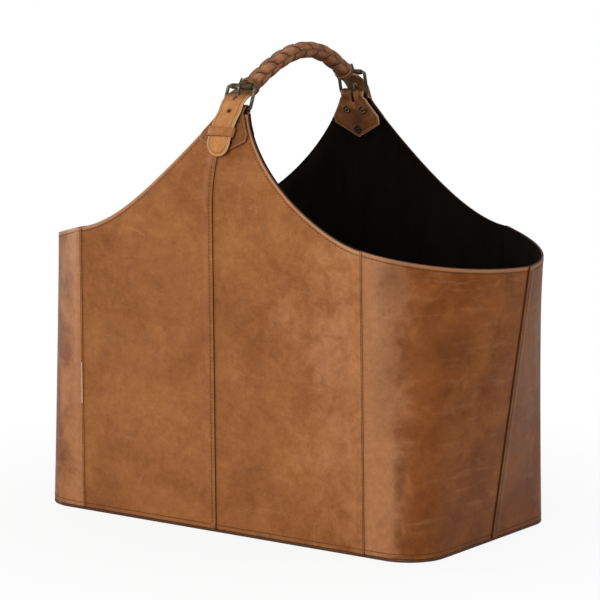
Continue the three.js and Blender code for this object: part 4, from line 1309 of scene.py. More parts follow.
@dataclass
class Walls:
    """The leather panels, boards and linings of the four walls."""

    lap: float = 10.0 * MM
    lap_raise: float = 0.9 * MM
    lap_ramp: Pair = (5.0 * MM, 13.0 * MM)
    skived: float = 1.1 * MM
    under_depth: float = 0.8 * MM
    under_ramp: Pair = (0.2 * MM, 2.4 * MM)
    layer_gap: float = 0.3 * MM
    leather: float = 2.1 * MM
    board: float = 1.8 * MM
    lining: float = 0.9 * MM
    board_tuck: float = 9.0 * MM
    eased: float = 0.45 * MM
    board_thinning: float = 0.8
    turn_in: float = 12.0 * MM
    turn_in_start: float = 2.0 * MM
    turn_in_growth: float = 0.9 * MM
    cell: float = 4.0 * MM
    narrowest_cell: float = 1.2 * MM
    columns_near_lap: tuple[float, ...] = (1.4, 2.8, 4.2, 5.6, 7.0, 8.6, 10.2, 12.0)
    rows_near_rim: tuple[float, ...] = (0.0, 1.4, 2.8, 4.2, 5.6, 8.0)
    body_rows: int = 56
    middle_seam: float = 3.0 * MM
    # Reach of the painted highlight beside the corner seams, on the ends and on the long side.
    rub_on_end: float = 64.0 * MM
    highlight_on_side: float = 110.0 * MM
    # Pale and darker patches on the front half's leather.
    light_marks: tuple[Mark, ...] = (
        Mark(54.0, 198.0, 42.0, 38.0, 0.42),
        Mark(112.0, 172.0, 22.0, 42.0, 0.3),
        Mark(25.0, 305.0, 14.0, 18.0, 0.4),
        Mark(185.0, 55.0, 9.0, 40.0, 0.5),
    )
    dark_marks: tuple[Mark, ...] = (
        Mark(-46.0, 236.0, 24.0, 32.0, 0.3),
        Mark(-78.0, 144.0, 26.0, 20.0, 0.3),
        Mark(237.0, 185.0, 38.0, 21.0, 0.6),
        Mark(191.0, 245.0, 18.0, 26.0, 0.45),
        Mark(182.0, 157.0, 15.0, 42.0, 0.35),
        Mark(230.0, 116.0, 26.0, 24.0, 0.4),
        Mark(236.0, 36.0, 28.0, 24.0, 0.3),
    )

    def build(self) -> None:
        """Make every layer of both halves."""
        for side in (FRONT, BACK):
            for layer in self.layers(side):
                self.make(layer)

    def layers(self, side: Side) -> list[Layer]:
        """Layers of one half: its leather panels, and the boards and linings of its long side and high end.

        Args:
            side: the half.

        Returns:
            What to make, the panels first.
        """
        middle = -self.middle_seam / WALL.ref_seam_x
        plan = (
            (f"{side.name}_{side.low}", Edge(-1.0, Lap.UNDER, True), Edge(middle, Lap.OVER)),
            (f"{side.name}_{side.high}", Edge(middle, Lap.UNDER), Edge(1.0, Lap.OVER, True)),
            (f"{side.low}_end_{side.name}", Edge(-2.0, Lap.OVER), Edge(-1.0, Lap.OVER, True)),
            (f"{side.high}_end_{side.name}", Edge(1.0, Lap.UNDER, True), Edge(2.0, Lap.UNDER)),
        )
        layers = [Layer(f"{name}_leather", f"{name}_panel", side, *edges) for name, *edges in plan]
        reach = 1.0 - self.layer_gap / WALL.ref_seam_x
        inset = self.layer_gap / WALL.end_length
        board = self.leather + self.layer_gap
        lining = board + self.board + self.layer_gap
        for name, low, high in ((side.name, -reach, reach), (f"{side.high}_end", 1.0 + inset, 3.0 - inset)):
            place = (side, Edge(low, Lap.BUTT), Edge(high, Lap.BUTT))
            board_size = (board, self.board, self.board_tuck)
            layers.append(Layer(f"{name}_stiffener", f"{name}_board", *place, *board_size))
            layers.append(Layer(f"{name}_suede", f"{name}_lining", *place, lining, self.lining))
        return layers

    def places(self, layer: Layer) -> Array:
        """Columns of a layer, closer together at its laps, without those that crowd each other.

        Args:
            layer: what to make.

        Returns:
            Places along the wall, from the layer's one edge to the other.
        """
        start, stop = (
            edge.w - way * (self.lap if edge.lap is Lap.UNDER else 0.0) / WALL.along(edge.w + way * 0.01)
            for edge, way in layer.edges()
        )
        run = (stop - start) * WALL.along((start + stop) / 2.0)
        if abs(start) > 1.0 and stop > 2.5:
            run = 2.0 * WALL.end_length
        columns = [np.linspace(start, stop, max(8, round(run / self.cell)) + 1)]
        for edge, way in layer.edges():
            if edge.lap is not Lap.BUTT:
                near = np.array(self.columns_near_lap) * MM
                columns.append(edge.w + way * near / WALL.along(edge.w + way * 0.01))
        if layer.node.startswith(layer.side.name):
            peak = WALL.peak_half_width / WALL.ref_seam_x
            columns.append(np.array([w for w in (-peak, peak) if start < w < stop]))
        narrowest = self.narrowest_cell / WALL.ref_seam_x
        kept = [start]
        for place in np.sort(np.concatenate(columns)):
            if place - kept[-1] > narrowest and stop - place > narrowest:
                kept.append(float(place))
        return np.array([*kept, stop])

    def make(self, layer: Layer) -> None:
        """Form one layer from a plate blank.

        Args:
            layer: what to make.
        """
        columns = self.places(layer)
        near = np.array(self.rows_near_rim) * MM + layer.tuck
        rows = self.body_rows + len(near) - 1
        piece, blank = Bench.plate(layer.name, len(columns) - 1, rows)
        w = np.interp(blank[:, 0], np.linspace(0.0, 1.0, len(columns)), columns)
        rim = WALL.rim(layer.side, w)
        index = np.round(blank[:, 1] * rows)
        share = np.clip(index / self.body_rows, 0.0, 1.0)
        body_z = WALL.foot_z + share * (rim - near[-1] - WALL.foot_z)
        rim_z = rim - np.interp(rows - index, np.arange(len(near)), near)
        z = np.where(index > self.body_rows, rim_z, body_z)
        outer, thickness = self.depths(layer, w, rim - z)
        depth = np.where(blank[:, 2] > 0.5, outer, outer + thickness)
        Bench.form(piece, WALL.wall(layer.side, w, z, depth))
        self._tag_edges(piece, layer, w, z, rim)
        Bench.map_flat(piece, np.stack([w * WALL.ref_seam_x, z], axis=-1))
        if layer.finish in (Finish.BODY, Finish.END):
            self._age(piece, layer, w, z)
            Bench.ease_edges(piece, self.eased, 3)
        settle(piece, layer.finish, layer.node)

    def depths(self, layer: Layer, w: Array, below_rim: Array) -> Arrays:
        """Outer depth and thickness of a layer.

        Args:
            layer: the layer.
            w: places along the wall.
            below_rim: distances below the rim.

        Returns:
            The depth of the outer face and the thickness behind it.
        """
        if layer.finish is Finish.LINING:
            pressed = 1.0 - smoothstep(below_rim, self.turn_in_start, self.turn_in)
            room = layer.depth - self.leather - self.layer_gap / 2.0
            return layer.depth - room * pressed, self.lining + self.turn_in_growth * pressed
        if layer.finish is Finish.BOARD:
            pressed = 1.0 - smoothstep(below_rim, self.board_tuck, self.board_tuck + self.turn_in)
            return np.full_like(w, layer.depth), self.board * (1.0 - self.board_thinning * pressed)
        outer, thickness = np.zeros_like(w), np.full_like(w, self.leather)
        for edge, way in layer.edges():
            inward = layer.inward(edge, way, w)
            if edge.lap is Lap.OVER:
                raised = self.lap_raise * (1.0 - smoothstep(inward, *self.lap_ramp))
                outer, thickness = outer - raised, thickness - raised
            else:
                sunk = 1.0 - smoothstep(inward, *self.under_ramp)
                outer = outer + self.under_depth * sunk
                thickness = thickness - (self.leather - self.skived) * sunk
        return outer, thickness

    @staticmethod
    def _tag_edges(piece: Piece, layer: Layer, w: Array, z: Array, rim: Array) -> None:
        """Keep the distances to the sewn edges on the piece.

        Args:
            piece: the layer's piece.
            layer: what it is made from.
            w: places of its vertices along the wall.
            z: their heights.
            rim: the rim's height at each.
        """
        edge = np.minimum(rim - z, z - WALL.foot_z + 0.3 * MM)
        corner = np.ones_like(w)
        for lapped, way in layer.edges():
            inward = layer.inward(lapped, way, w)
            if lapped.lap is Lap.OVER and lapped.corner:
                corner = np.minimum(corner, inward)
            elif lapped.lap is Lap.OVER:
                edge = np.minimum(edge, inward)
        Bench.tag_edges(piece, edge, corner, rim - z)

    def _age(self, piece: Piece, layer: Layer, w: Array, z: Array) -> None:
        """Paint a highlight beside the corner seams, and add the front's pale and darker patches.

        Args:
            piece: the panel.
            layer: what it is made from.
            w: places of its vertices along the wall.
            z: their heights.
        """
        end = "end" in layer.node
        reach = self.rub_on_end / WALL.end_length if end else self.highlight_on_side / WALL.ref_seam_x
        strength = 1.0 if end else 0.6 * (layer.high.w == 1.0)
        # Painted highlight: lighter leather beside the corner seams, where the lamps' light falls as the wall
        # turns.
        rub = strength * np.clip(1.0 - np.abs(np.abs(w) - 1.0) / reach, 0.0, 1.0)
        stain_and_shade = np.zeros_like(w)
        # The front's pale patches join the painted highlight; its darker patches go with the stains.
        if layer.side is FRONT:
            past = np.maximum(np.abs(w) - 1.0, 0.0) * WALL.end_length
            along = np.sign(w) * (np.minimum(np.abs(w), 1.0) * WALL.ref_seam_x + past)
            rub = rub + sum(mark.share(along, z) for mark in self.light_marks)
            stain_and_shade = stain_and_shade + sum(mark.share(along, z) for mark in self.dark_marks)
        Bench.tag(piece, "rub", rub)
        Bench.tag(piece, "stain_and_shade", stain_and_shade)


@dataclass
class Base:
    """The sole, its board and its lining: flat plates with round corners."""

    clearance: float = 0.9 * MM
    corner_segments: int = 24
    eased: float = 0.35 * MM

    def build(self) -> None:
        """Make the three plates where the frame has them."""
        inset = WALL.thickness + self.clearance
        self.make("sole_leather", "base_leather", Finish.SOLE, 0.0)
        self.make("sole_stiffener", "base_board", Finish.BOARD, inset)
        self.make("sole_suede", "base_lining", Finish.LINING, inset)

    def make(self, name: str, node: str, finish: Finish, inset: float) -> None:
        """Form a plate with round corners.

        Args:
            name: the piece's name.
            node: the frame's node that it stands for.
            finish: its finish.
            inset: how far it lies inside the basket's foot.
        """
        low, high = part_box(node)
        piece = Bench.blank(name, "cube", size=1.0, location=(low + high) / 2.0, scale=high - low)
        Bench.pick(piece)
        bpy.ops.object.mode_set(mode="EDIT")
        bpy.ops.mesh.select_all(action="DESELECT")
        bpy.ops.mesh.select_mode(type="EDGE")
        bpy.ops.object.mode_set(mode="OBJECT")
        for edge in piece.data.edges:
            ends = [piece.data.vertices[i].co for i in edge.vertices]
            edge.select = abs(ends[0].z - ends[1].z) > (high.z - low.z) / 2.0
        bpy.ops.object.mode_set(mode="EDIT")
        radius = WALL.foot_corner_radius - inset
        bpy.ops.mesh.bevel(offset=radius, segments=self.corner_segments, affect="EDGES")
        bpy.ops.object.mode_set(mode="OBJECT")
        Bench.ease_edges(piece, self.eased, 2)
        Bench.tag_plain(piece)
        settle(piece, finish, node)


# Stitching


@dataclass
class Stitching:
    """Rows of stitches, each row one piece of short bowed threads sunk into the leather."""

    pitch: float = 3.4 * MM
    half_length: float = 1.25 * MM
    half_width: float = 0.34 * MM
    worn_growth: float = 1.7
    slant: float = 0.1
    sink: float = 0.05 * MM
    from_edge: float = 4.2 * MM
    from_corner: float = 0.9 * MM
    from_middle: float = 6.8 * MM
    start_rise: float = 5.5 * MM
    stop_drop: float = 6.0 * MM
    middle_drop: float = 46.0 * MM
    seam_raise: float = Walls.lap_raise
    under_chape: float = 28.0 * MM
    worn_stretch: Pair = (104.0 * MM, 143.0 * MM)
    row_end: float = 0.985
    row_points: int = 500
    seam_points: int = 200
    end_seam_points: int = 160
    pattern: Piece = field(init=False)

    def build(self) -> None:
        """Sew every row of the walls."""
        self._stitch()
        for side in (FRONT, BACK):
            self._long_side(side)
            self._end(side)
        bpy.data.objects.remove(self.pattern, do_unlink=True)

    def _stitch(self) -> None:
        """Form the pattern of one stitch, along X, bowed so that its ends dive in."""
        self.pattern, along, turn = Bench.bead("stitch", 8, 6)
        x = -np.cos(along * math.pi)
        girth = np.sin(along * math.pi) ** 0.7 * self.half_width
        rise = girth * np.sin(turn) - 0.4 * self.half_width * x**2
        Bench.form(self.pattern, np.stack([x * self.half_length, girth * np.cos(turn), rise], axis=-1))

    def row(self, name: str, line: Arrays, worn: bool = False) -> None:
        """Sew one row.

        Args:
            name: the piece's name.
            line: dense points on the leather's face, and the direction out of it at each.
            worn: whether the thread is the worn, pale one.
        """
        points, outward = line
        seam = Path(points)
        count = int(seam.total / self.pitch)
        middles = (np.arange(count) + 0.5) * seam.total / count
        along = unit(seam.at(middles + MM) - seam.at(middles - MM))
        out = unit(np.stack([np.interp(middles, seam.lengths, column) for column in outward.T], axis=-1))
        out = unit(out - along * np.sum(out * along, axis=1, keepdims=True))
        along = unit(along + np.cross(out, along) * self.slant)
        axes = np.stack([along, np.cross(out, along), out], axis=1)
        blank = Bench.coordinates(self.pattern) * (self.worn_growth if worn else 1.0)
        shape = seam.at(middles)[:, None, :] + (blank - (0.0, 0.0, self.sink)) @ axes
        faces = [tuple(polygon.vertices) for polygon in self.pattern.data.polygons]
        copies = [tuple(v + i * len(blank) for v in face) for i in range(count) for face in faces]
        mesh = bpy.data.meshes.new(name)
        mesh.from_pydata(shape.reshape(-1, 3).tolist(), [], copies)
        piece = bpy.data.objects.new(name, mesh)
        bpy.context.scene.collection.objects.link(piece)
        settle(piece, Finish.WORN_THREAD if worn else Finish.THREAD, angle=80.0)

    @staticmethod
    def _face(side: Side, w: Array, z: Array, depth: float = 0.0) -> Arrays:
        """Line on the wall's face and the direction out of it."""
        return WALL.wall(side, w, z, np.full_like(w, depth)), WALL.outward(side, w, z)

    def _rim(self, side: Side, w: Array, length: Array) -> Array:
        """Height of the row below the rim, measured square to the rim's slope."""
        slope = np.arctan(np.gradient(WALL.rim(side, w), length))
        return WALL.rim(side, w) - self.from_edge / np.cos(slope)

    def _long_side(self, side: Side) -> None:
        """Sew the rim, the foot and the seams of one long side.

        Args:
            side: the side.
        """
        w = np.linspace(-self.row_end, self.row_end, self.row_points)
        rim = self._rim(side, w, w * WALL.ref_seam_x)
        clear = np.abs(w) * WALL.ref_seam_x >= self.under_chape
        for half, keep in (("low", clear & (w < 0)), ("high", clear & (w > 0))):
            self.row(f"{side.name}_rim_stitches_{half}", self._face(side, w[keep], rim[keep]))
        foot = np.full_like(w, WALL.foot_z + self.from_edge)
        self.row(f"{side.name}_foot_stitches", self._face(side, w, foot))
        seams = (
            ("middle", -self.from_middle / WALL.ref_seam_x),
            ("high_corner", 1.0 - self.from_corner / WALL.ref_seam_x),
            ("low_corner", -1.0 - self.from_corner / WALL.end_length),
        )
        for name, place in seams:
            top = WALL.rim(side, np.array([place]))[0] - self.stop_drop
            if name == "middle":
                top = side.peak_z - self.middle_drop
            stops = [WALL.foot_z + self.start_rise, top]
            if side is FRONT and name == "low_corner":
                stops = [stops[0], *self.worn_stretch, top]
            for number, (start, stop) in enumerate(zip(stops, stops[1:]), 1):
                z = np.linspace(start, stop, self.seam_points)
                line = self._face(side, np.full_like(z, place), z, -self.seam_raise)
                self.row(f"{side.name}_{name}_stitches_{number}", line, number == 2)

    def _end(self, side: Side) -> None:
        """Sew the rim, the foot and the middle seam of one half's high end.

        Args:
            side: the half.
        """
        w = np.linspace(2.0 - self.row_end, 2.0 + self.row_end, self.row_points)
        rim = self._rim(side, w, (w - w[0]) * WALL.end_length)
        low, high = WALL.foot_z + self.start_rise, WALL.end_rim_z - self.stop_drop
        z = np.linspace(low, high, self.end_seam_points)
        seam = np.full_like(z, 2.0 + self.from_edge / WALL.end_length)
        lines = {
            "rim": self._face(side, w, rim),
            "foot": self._face(side, w, np.full_like(w, WALL.foot_z + self.from_edge)),
            "middle": self._face(side, seam, z, -self.seam_raise),
        }
        for name, line in lines.items():
            self.row(f"{side.high}_end_{name}_stitches", line)


# Strips: tabs, straps and keepers


@dataclass
class Strip:
    """A leather band with rounded edges that follows a path in the plane x = 0.

    Attributes:
        name: the piece's name.
        side: the side that it is on.
        path: its mid-line.
        thickness: its thickness.
        cells: cells across and along it.
    """

    name: str
    side: Side
    path: Path
    thickness: float
    cells: tuple[int, int]
    thin_edge: float = 0.42
    edge_reach: float = 0.8 * MM
    crowding: float = 0.94

    def make(
        self,
        half_width: Callable[[Array], Array],
        from_edge: Callable[[Array, Array], Array],
        length_of: Callable[[Array, Array], Array],
    ) -> Piece:
        """Form the strip.

        Args:
            half_width: half width at each length.
            from_edge: distance from the nearest edge for each x and length.
            length_of: length along the path for each share along and share across.

        Returns:
            The strip.
        """
        piece, blank = Bench.plate(self.name, *self.cells)
        across = Bench.across(blank, self.crowding)
        length = length_of(blank[:, 1], across)
        x = across * half_width(length)
        edge = np.maximum(from_edge(x, length), 0.0)
        full = self.thin_edge + (1.0 - self.thin_edge) * round_over(edge, self.edge_reach)
        offset = np.where(blank[:, 2] > 0.5, 0.5, -0.5) * self.thickness * full
        points = self.path.beside(np.clip(length, 0.0, self.path.total), x, offset)
        Bench.form(piece, self.side.to_basket(points))
        Bench.tag_edges(piece, edge)
        Bench.map_flat(piece, np.stack([x, length], axis=-1))
        return piece


@dataclass
class Chape:
    """The tab that folds over the buckle's bar, with its slot and its rivets."""

    peak: Peak
    neck_half_width: float = 12.9 * MM
    widest: float = 26.0 * MM
    margin: float = 2.0 * MM
    shoulder_drop: float = 24.0 * MM
    tip_drop: float = 38.0 * MM
    slot_drop: float = 9.0 * MM
    slot_rise: float = 20.0 * MM
    slot_depth: float = 40.0 * MM
    slot_half_width: float = 2.0 * MM
    drop_shares: tuple[float, ...] = (1.0, 0.8, 0.632, 0.45, 0.3, 0.15, 0.0)
    rivet_radius: float = 4.4 * MM
    cap_height: float = 0.85 * MM
    cap_seat: float = 0.15 * MM
    rivet_spacing: float = 18.0 * MM
    upper_drop: float = 10.0 * MM
    lower_drop: float = 30.0 * MM
    cap_profile: tuple[Pair, ...] = (
        (0.0, 0.95), (0.2, 0.95), (0.32, 0.8), (0.4, 0.42), (0.52, 0.4), (0.62, 0.8),
        (0.75, 1.0), (0.9, 0.85), (0.99, 0.45), (1.0, 0.15), (0.97, 0.0), (0.36, 0.0),
    )
    # A darker spot low on the tab, a painted highlight band just below the fold, and painted shade over the
    # fold.
    dark_spot: Mark = Mark(0.0, 25.0, 13.0, 9.0, 0.7)
    highlight_band: Mark = Mark(0.0, 7.0, math.inf, 9.0, 0.62)
    fold_shade: Pair = (5.0 * MM, 8.0 * MM)
    fold_shade_share: float = 0.8
    path: Path = field(init=False)

    def build(self) -> None:
        """Make the tab and its rivets."""
        self.path = self._path()
        self._tab()
        side = self.peak.side
        for name, x in ((side.low, -self.rivet_spacing / 2.0), (side.high, self.rivet_spacing / 2.0)):
            self._rivet(f"{name}_rivet", x, self.upper_drop, Finish.RIVET)
        self._rivet("lower_rivet", 0.0, self.lower_drop, Finish.DARK_RIVET)

    def _path(self) -> Path:
        """Line up the outer face, over the bar and down the inner face.

        Returns:
            The tab's mid-line.
        """
        peak, fold = self.peak, self.peak.fold
        heights = [peak.side.peak_z - share * self.tip_drop for share in self.drop_shares]
        outside = [peak.on_wall(z, peak.outer_chape(z)) for z in heights]
        inside = [peak.on_wall(z, -peak.inner_chape(z)) for z in heights]
        radius = peak.fold_radius
        arc = [fold.at(radius * math.sin(a), radius * math.cos(a)) for a in np.linspace(0.0, math.pi, 9)]
        return Path.through([*outside, *arc, *reversed(inside)])

    @property
    def point(self) -> float:
        """Length of the tab's pointed end."""
        return self.tip_drop - self.shoulder_drop

    def half_width(self, length: Array) -> Array:
        """Half width: as wide as the peak allows on the wall, a narrow neck over the bar.

        Args:
            length: length along the tab.

        Returns:
            Half the width at each length.
        """
        z = self.path.at(length)[..., 2]
        on_wall = np.maximum(self.neck_half_width, WALL.flank(self.peak.side, z) - self.margin)
        on_wall = np.minimum(on_wall, self.widest)
        return np.where(z > self.peak.side.peak_z, self.neck_half_width, on_wall)

    def from_edge(self, x: Array, length: Array) -> Array:
        """Distance from the nearest edge.

        Args:
            x: distance from the tab's middle.
            length: length along the tab.

        Returns:
            The distance, to the sides or to the pointed ends.
        """
        slope = self.point / self.widest
        near = np.minimum(length, self.path.total - length)
        to_point = (near - slope * np.abs(x)) / math.hypot(1.0, slope)
        return np.minimum(self.half_width(length) - np.abs(x), to_point)

    def length_of(self, share: Array, across: Array) -> Array:
        """Rows along the tab, bent to its points near its ends.

        Args:
            share: 0 to 1 along the blank.
            across: -1 to 1 across it.

        Returns:
            The length of each place.
        """
        near = np.minimum(share, 1.0 - share) * self.path.total
        bowed = near + self.point * np.abs(across) * (1.0 - smoothstep(near, 0.0, 2.2 * self.point))
        return np.where(share < 0.5, bowed, self.path.total - bowed)

    def _tab(self) -> None:
        """Form the tab, cut the prong's slot, and paint shade over the fold, a highlight band below it and a
        darker spot lower down.
        """
        side = self.peak.side
        strip = Strip(f"{side.name}_tab", side, self.path, self.peak.chape, (26, 110))
        piece = strip.make(self.half_width, self.from_edge, self.length_of)
        Bench.combine(piece, self._slot(), "DIFFERENCE")
        x, _, z = Bench.coordinates(piece).T
        drop = side.peak_z - z
        # painted shade over the fold, where it meets the strap behind it
        fold_shaded = self.fold_shade_share * smoothstep(-drop, *self.fold_shade)
        Bench.tag(piece, "stain_and_shade", np.maximum(self.dark_spot.share(x, drop), fold_shaded))
        # painted highlight band just below the fold
        Bench.tag(piece, "rub", self.highlight_band.share(x, drop))
        finish = Finish.FRONT_TAB if side is FRONT else Finish.BACK_TAB
        settle(piece, finish, f"{side.name}_chape", angle=40.0)

    def _slot(self) -> Piece:
        """Body that cuts the prong's slot over the fold.

        Returns:
            The cutter.
        """
        x, y, z = self.peak.side.to_basket(self.peak.buckle.point)
        height = self.slot_drop + self.slot_rise
        middle = (x, y, z - self.slot_drop + height / 2.0)
        size = (2.0 * self.slot_half_width, self.slot_depth, height)
        return Bench.blank("slot_cutter", "cube", size=1.0, location=middle, scale=size)

    def _rivet(self, name: str, x: float, drop: float, finish: Finish) -> None:
        """Turn one rivet: a ringed cap on each face and the post between them.

        Args:
            name: the rivet's node on its side.
            x: distance from the tab's middle.
            drop: distance below the peak's top.
            finish: its finish.
        """
        peak, side = self.peak, self.peak.side
        z = side.peak_z - drop
        station = peak.station(z)
        seat = peak.chape / 2.0 + self.cap_seat
        outer, inner = (
            np.array(self.cap_profile) * (self.rivet_radius, self.cap_height) + (0.0, leg + seat)
            for leg in (peak.outer_chape(z), peak.inner_chape(z))
        )
        profile = np.vstack([outer, inner[::-1] * (1.0, -1.0)])
        piece, along, turn = Bench.bead(f"{side.name}_{name}_cap", 32, len(profile) - 1)
        radius, height = profile[np.round(along * (len(profile) - 1)).astype(int)].T
        points = station.round(x + radius * np.cos(turn), radius * np.sin(turn), height)
        Bench.form(piece, side.to_basket(points))
        settle(piece, finish, f"{side.name}_{name}", angle=30.0)


@dataclass(frozen=True)
class HandleEnd:
    """Where the plait ends on one side, in that half's own place, and its way on into the strap."""

    point: Array
    away: Array

    @classmethod
    def of(cls, peak: Peak, angle: float, up: float = 23.0 * MM, inside: float = 9.8 * MM) -> "HandleEnd":
        """End of the plait beside a buckle, at an angle from level, a way up the buckle and inside it."""
        slope = math.radians(angle)
        return cls(peak.buckle.at(up, -inside), np.array([0.0, -math.cos(slope), -math.sin(slope)]))


@dataclass(frozen=True)
class Hole:
    """A hole in the strap.

    Attributes:
        at: length along the strap that it is punched square to.
        shift: how far past that its middle lies.
        radius: its radius.
        run: how far each half is moved from the middle, where it is drawn out into a slot.
        ring_run: the same for the painted dark ring of shade round it.
    """

    at: float
    shift: float
    radius: float
    run: float
    ring_run: float


@dataclass
class Strap:
    """The strap from the handle's end through the buckle, and the keeper that holds its tip."""

    peak: Peak
    end: HandleEnd
    width: float = 25.0 * MM
    neck_half_width: float = 4.2 * MM
    neck_length: float = 8.0 * MM
    flare_start: float = 6.0 * MM
    flare_length: float = 6.5 * MM
    tip_radius: float = 12.4 * MM
    tip_drop: float = 39.5 * MM
    tip_share: float = 0.2
    hole_radius: float = 1.9 * MM
    hole_pitch: float = 18.0 * MM
    slot_half_width: float = 1.5 * MM
    slot_below: float = 6.6 * MM
    slot_above: float = 4.0 * MM
    ring_half_run: float = 3.5 * MM
    crossing: Pair = (11.0 * MM, 2.4 * MM)
    bridge: Pair = (4.0 * MM, 7.0 * MM)
    bow: Pair = (-6.5 * MM, 9.2 * MM)
    keeper_drop: float = 20.2 * MM
    keeper_band: float = 9.0 * MM
    keeper_thickness: float = 1.4 * MM
    keeper_corner: float = 1.7 * MM
    keeper_bow: float = 0.5 * MM
    keeper_edge: float = 0.5 * MM
    # Reaches and strengths of the painted shade on the strap.
    neck_ramp: Pair = (-6.0 * MM, 9.0 * MM)
    flesh_ramp: Pair = (-0.2 * MM, 0.4 * MM)
    ring_ramp: Pair = (0.1 * MM, 1.3 * MM)
    neck_shade: float = 0.85
    ring_and_flesh_shade: float = 0.8
    path: Path = field(init=False)

    def build(self) -> None:
        """Make the strap and the keeper."""
        self.path = self._path()
        self._strap()
        self._keeper()

    def _path(self) -> Path:
        """Line from inside the braid, under the roller and over the tab's fold to the tip.

        Returns:
            The strap's mid-line.
        """
        peak, end, buckle = self.peak, self.end, self.peak.buckle
        keeper = peak.side.peak_z - self.keeper_drop
        tip = peak.side.peak_z - self.tip_drop
        heights = (keeper + self.keeper_band, keeper, keeper - self.keeper_band)
        places = [end.point - end.away * self.neck_length, end.point]
        places += [buckle.at(*place) for place in (self.crossing, self.bridge, self.bow)]
        places += [peak.on_wall(z, peak.strap_run(z)) for z in heights]
        return Path.through([*places, peak.on_wall(tip, peak.strap_tip(tip))])

    def half_width(self, length: Array) -> Array:
        """Half width: narrow neck, full strap, round tip.

        Args:
            length: length along the strap.

        Returns:
            Half the width at each length.
        """
        half = self.width / 2.0
        flare = smoothstep(length, self.flare_start, self.flare_start + self.flare_length)
        in_tip = np.clip(1.0 - (self.path.total - length) / self.tip_radius, 0.0, 1.0)
        rounded = half - self.tip_radius * (1.0 - np.sqrt(1.0 - in_tip**2))
        return np.minimum(rounded, self.neck_half_width + (half - self.neck_half_width) * flare)

    def from_edge(self, x: Array, length: Array) -> Array:
        """Distance from the nearest edge, round the tip too."""
        past = np.maximum(0.0, length - (self.path.total - self.tip_radius))
        return np.minimum(self.width / 2.0 - np.hypot(x, past), self.half_width(length) - np.abs(x))

    def length_of(self, share: Array, _across: Array) -> Array:
        """Rows along the strap, closer together at the round tip.

        Args:
            share: 0 to 1 along the blank.
            _across: -1 to 1 across it, which makes no difference here.

        Returns:
            The length of each place.
        """
        body = 1.0 - self.tip_share
        straight = self.path.total - self.tip_radius
        tip = np.clip((share - body) / self.tip_share, 0.0, 1.0)
        in_tip = straight + self.tip_radius * np.sin(tip * math.pi / 2.0)
        return np.where(share < body, share / body * straight, in_tip)

    def _strap(self) -> None:
        """Form the strap and punch its holes."""
        side = self.peak.side
        strip = Strip(f"{side.name}_billet", side, self.path, self.peak.strap, (22, 120))
        piece = strip.make(self.half_width, self.from_edge, self.length_of)
        holes = self.holes()
        for hole in holes:
            Bench.combine(piece, self._punch(hole), "DIFFERENCE")
        # painted shade inside the buckle, on the flesh side and round the holes
        Bench.tag(piece, "stain_and_shade", self._painted_shade(piece, holes))
        settle(piece, Finish.STRAP, f"{side.name}_strap", angle=45.0)

    def holes(self) -> tuple[Hole, Hole]:
        """The slot that the prong goes through and the round hole past it.

        Returns:
            Both holes.
        """
        start = self.path.length_at_height(self.peak.buckle.at(*self.crossing)[2])
        shift = (self.slot_below - self.slot_above) / 2.0
        run = (self.slot_below + self.slot_above) / 2.0 - self.slot_half_width
        slot = Hole(start, shift, self.slot_half_width, run, self.ring_half_run)
        return slot, Hole(start + self.hole_pitch, 0.0, self.hole_radius, 0.0, 0.0)

    def _painted_shade(self, piece: Piece, holes: tuple[Hole, Hole]) -> Array:
        """Painted shade on the strap: dark towards the plait inside the buckle, on its flesh side and round
        its holes.

        Args:
            piece: the strap.
            holes: its holes, the prong's first.

        Returns:
            The painted shade of each vertex.
        """
        side = self.peak.side
        points = side.to_basket(Bench.coordinates(piece))
        line, lengths = self.path.points[::4], self.path.lengths[::4]
        nearest = np.argmin(np.linalg.norm(points[:, None, 1:] - line[None, :, 1:], axis=2), axis=1)
        length = lengths[nearest]
        off = np.sum((points - line[nearest]) * self.path.normal(length), axis=1)
        # painted shade towards the plait, where the strap lies inside the buckle
        neck = 1.0 - smoothstep(length - holes[0].at, *self.neck_ramp)
        # Painted shade on the flesh side, and below in rings round the holes; none of it is wear.
        flesh = (1.0 if side is BACK else self.ring_and_flesh_shade) * smoothstep(off, *self.flesh_ramp)
        worn = np.maximum(self.neck_shade * neck, flesh)
        for hole in holes:
            past = np.abs(length - hole.at - hole.shift) - hole.ring_run
            away = np.hypot(points[:, 0], np.maximum(past, 0.0)) - self.hole_radius
            worn = np.maximum(worn, self.ring_and_flesh_shade * (1.0 - smoothstep(away, *self.ring_ramp)))
        return worn

    def _punch(self, hole: Hole) -> Piece:
        """Punch for a hole, drawn out along the strap where the hole is a slot.

        Args:
            hole: what to punch.

        Returns:
            The punch.
        """
        punch = Bench.blank("punch", "cylinder", vertices=32, radius=hole.radius, depth=8.0 * MM)
        x, y, z = Bench.coordinates(punch).T
        tangent = self.path.tangent(np.array([hole.at]))[0]
        along = y + np.sign(np.round(y, 7)) * hole.run + hole.shift
        place = Station(self.path.at(np.array([hole.at])), tangent, np.cross(ACROSS, tangent))
        Bench.form(punch, self.peak.side.to_basket(place.round(x, along, z)))
        return punch

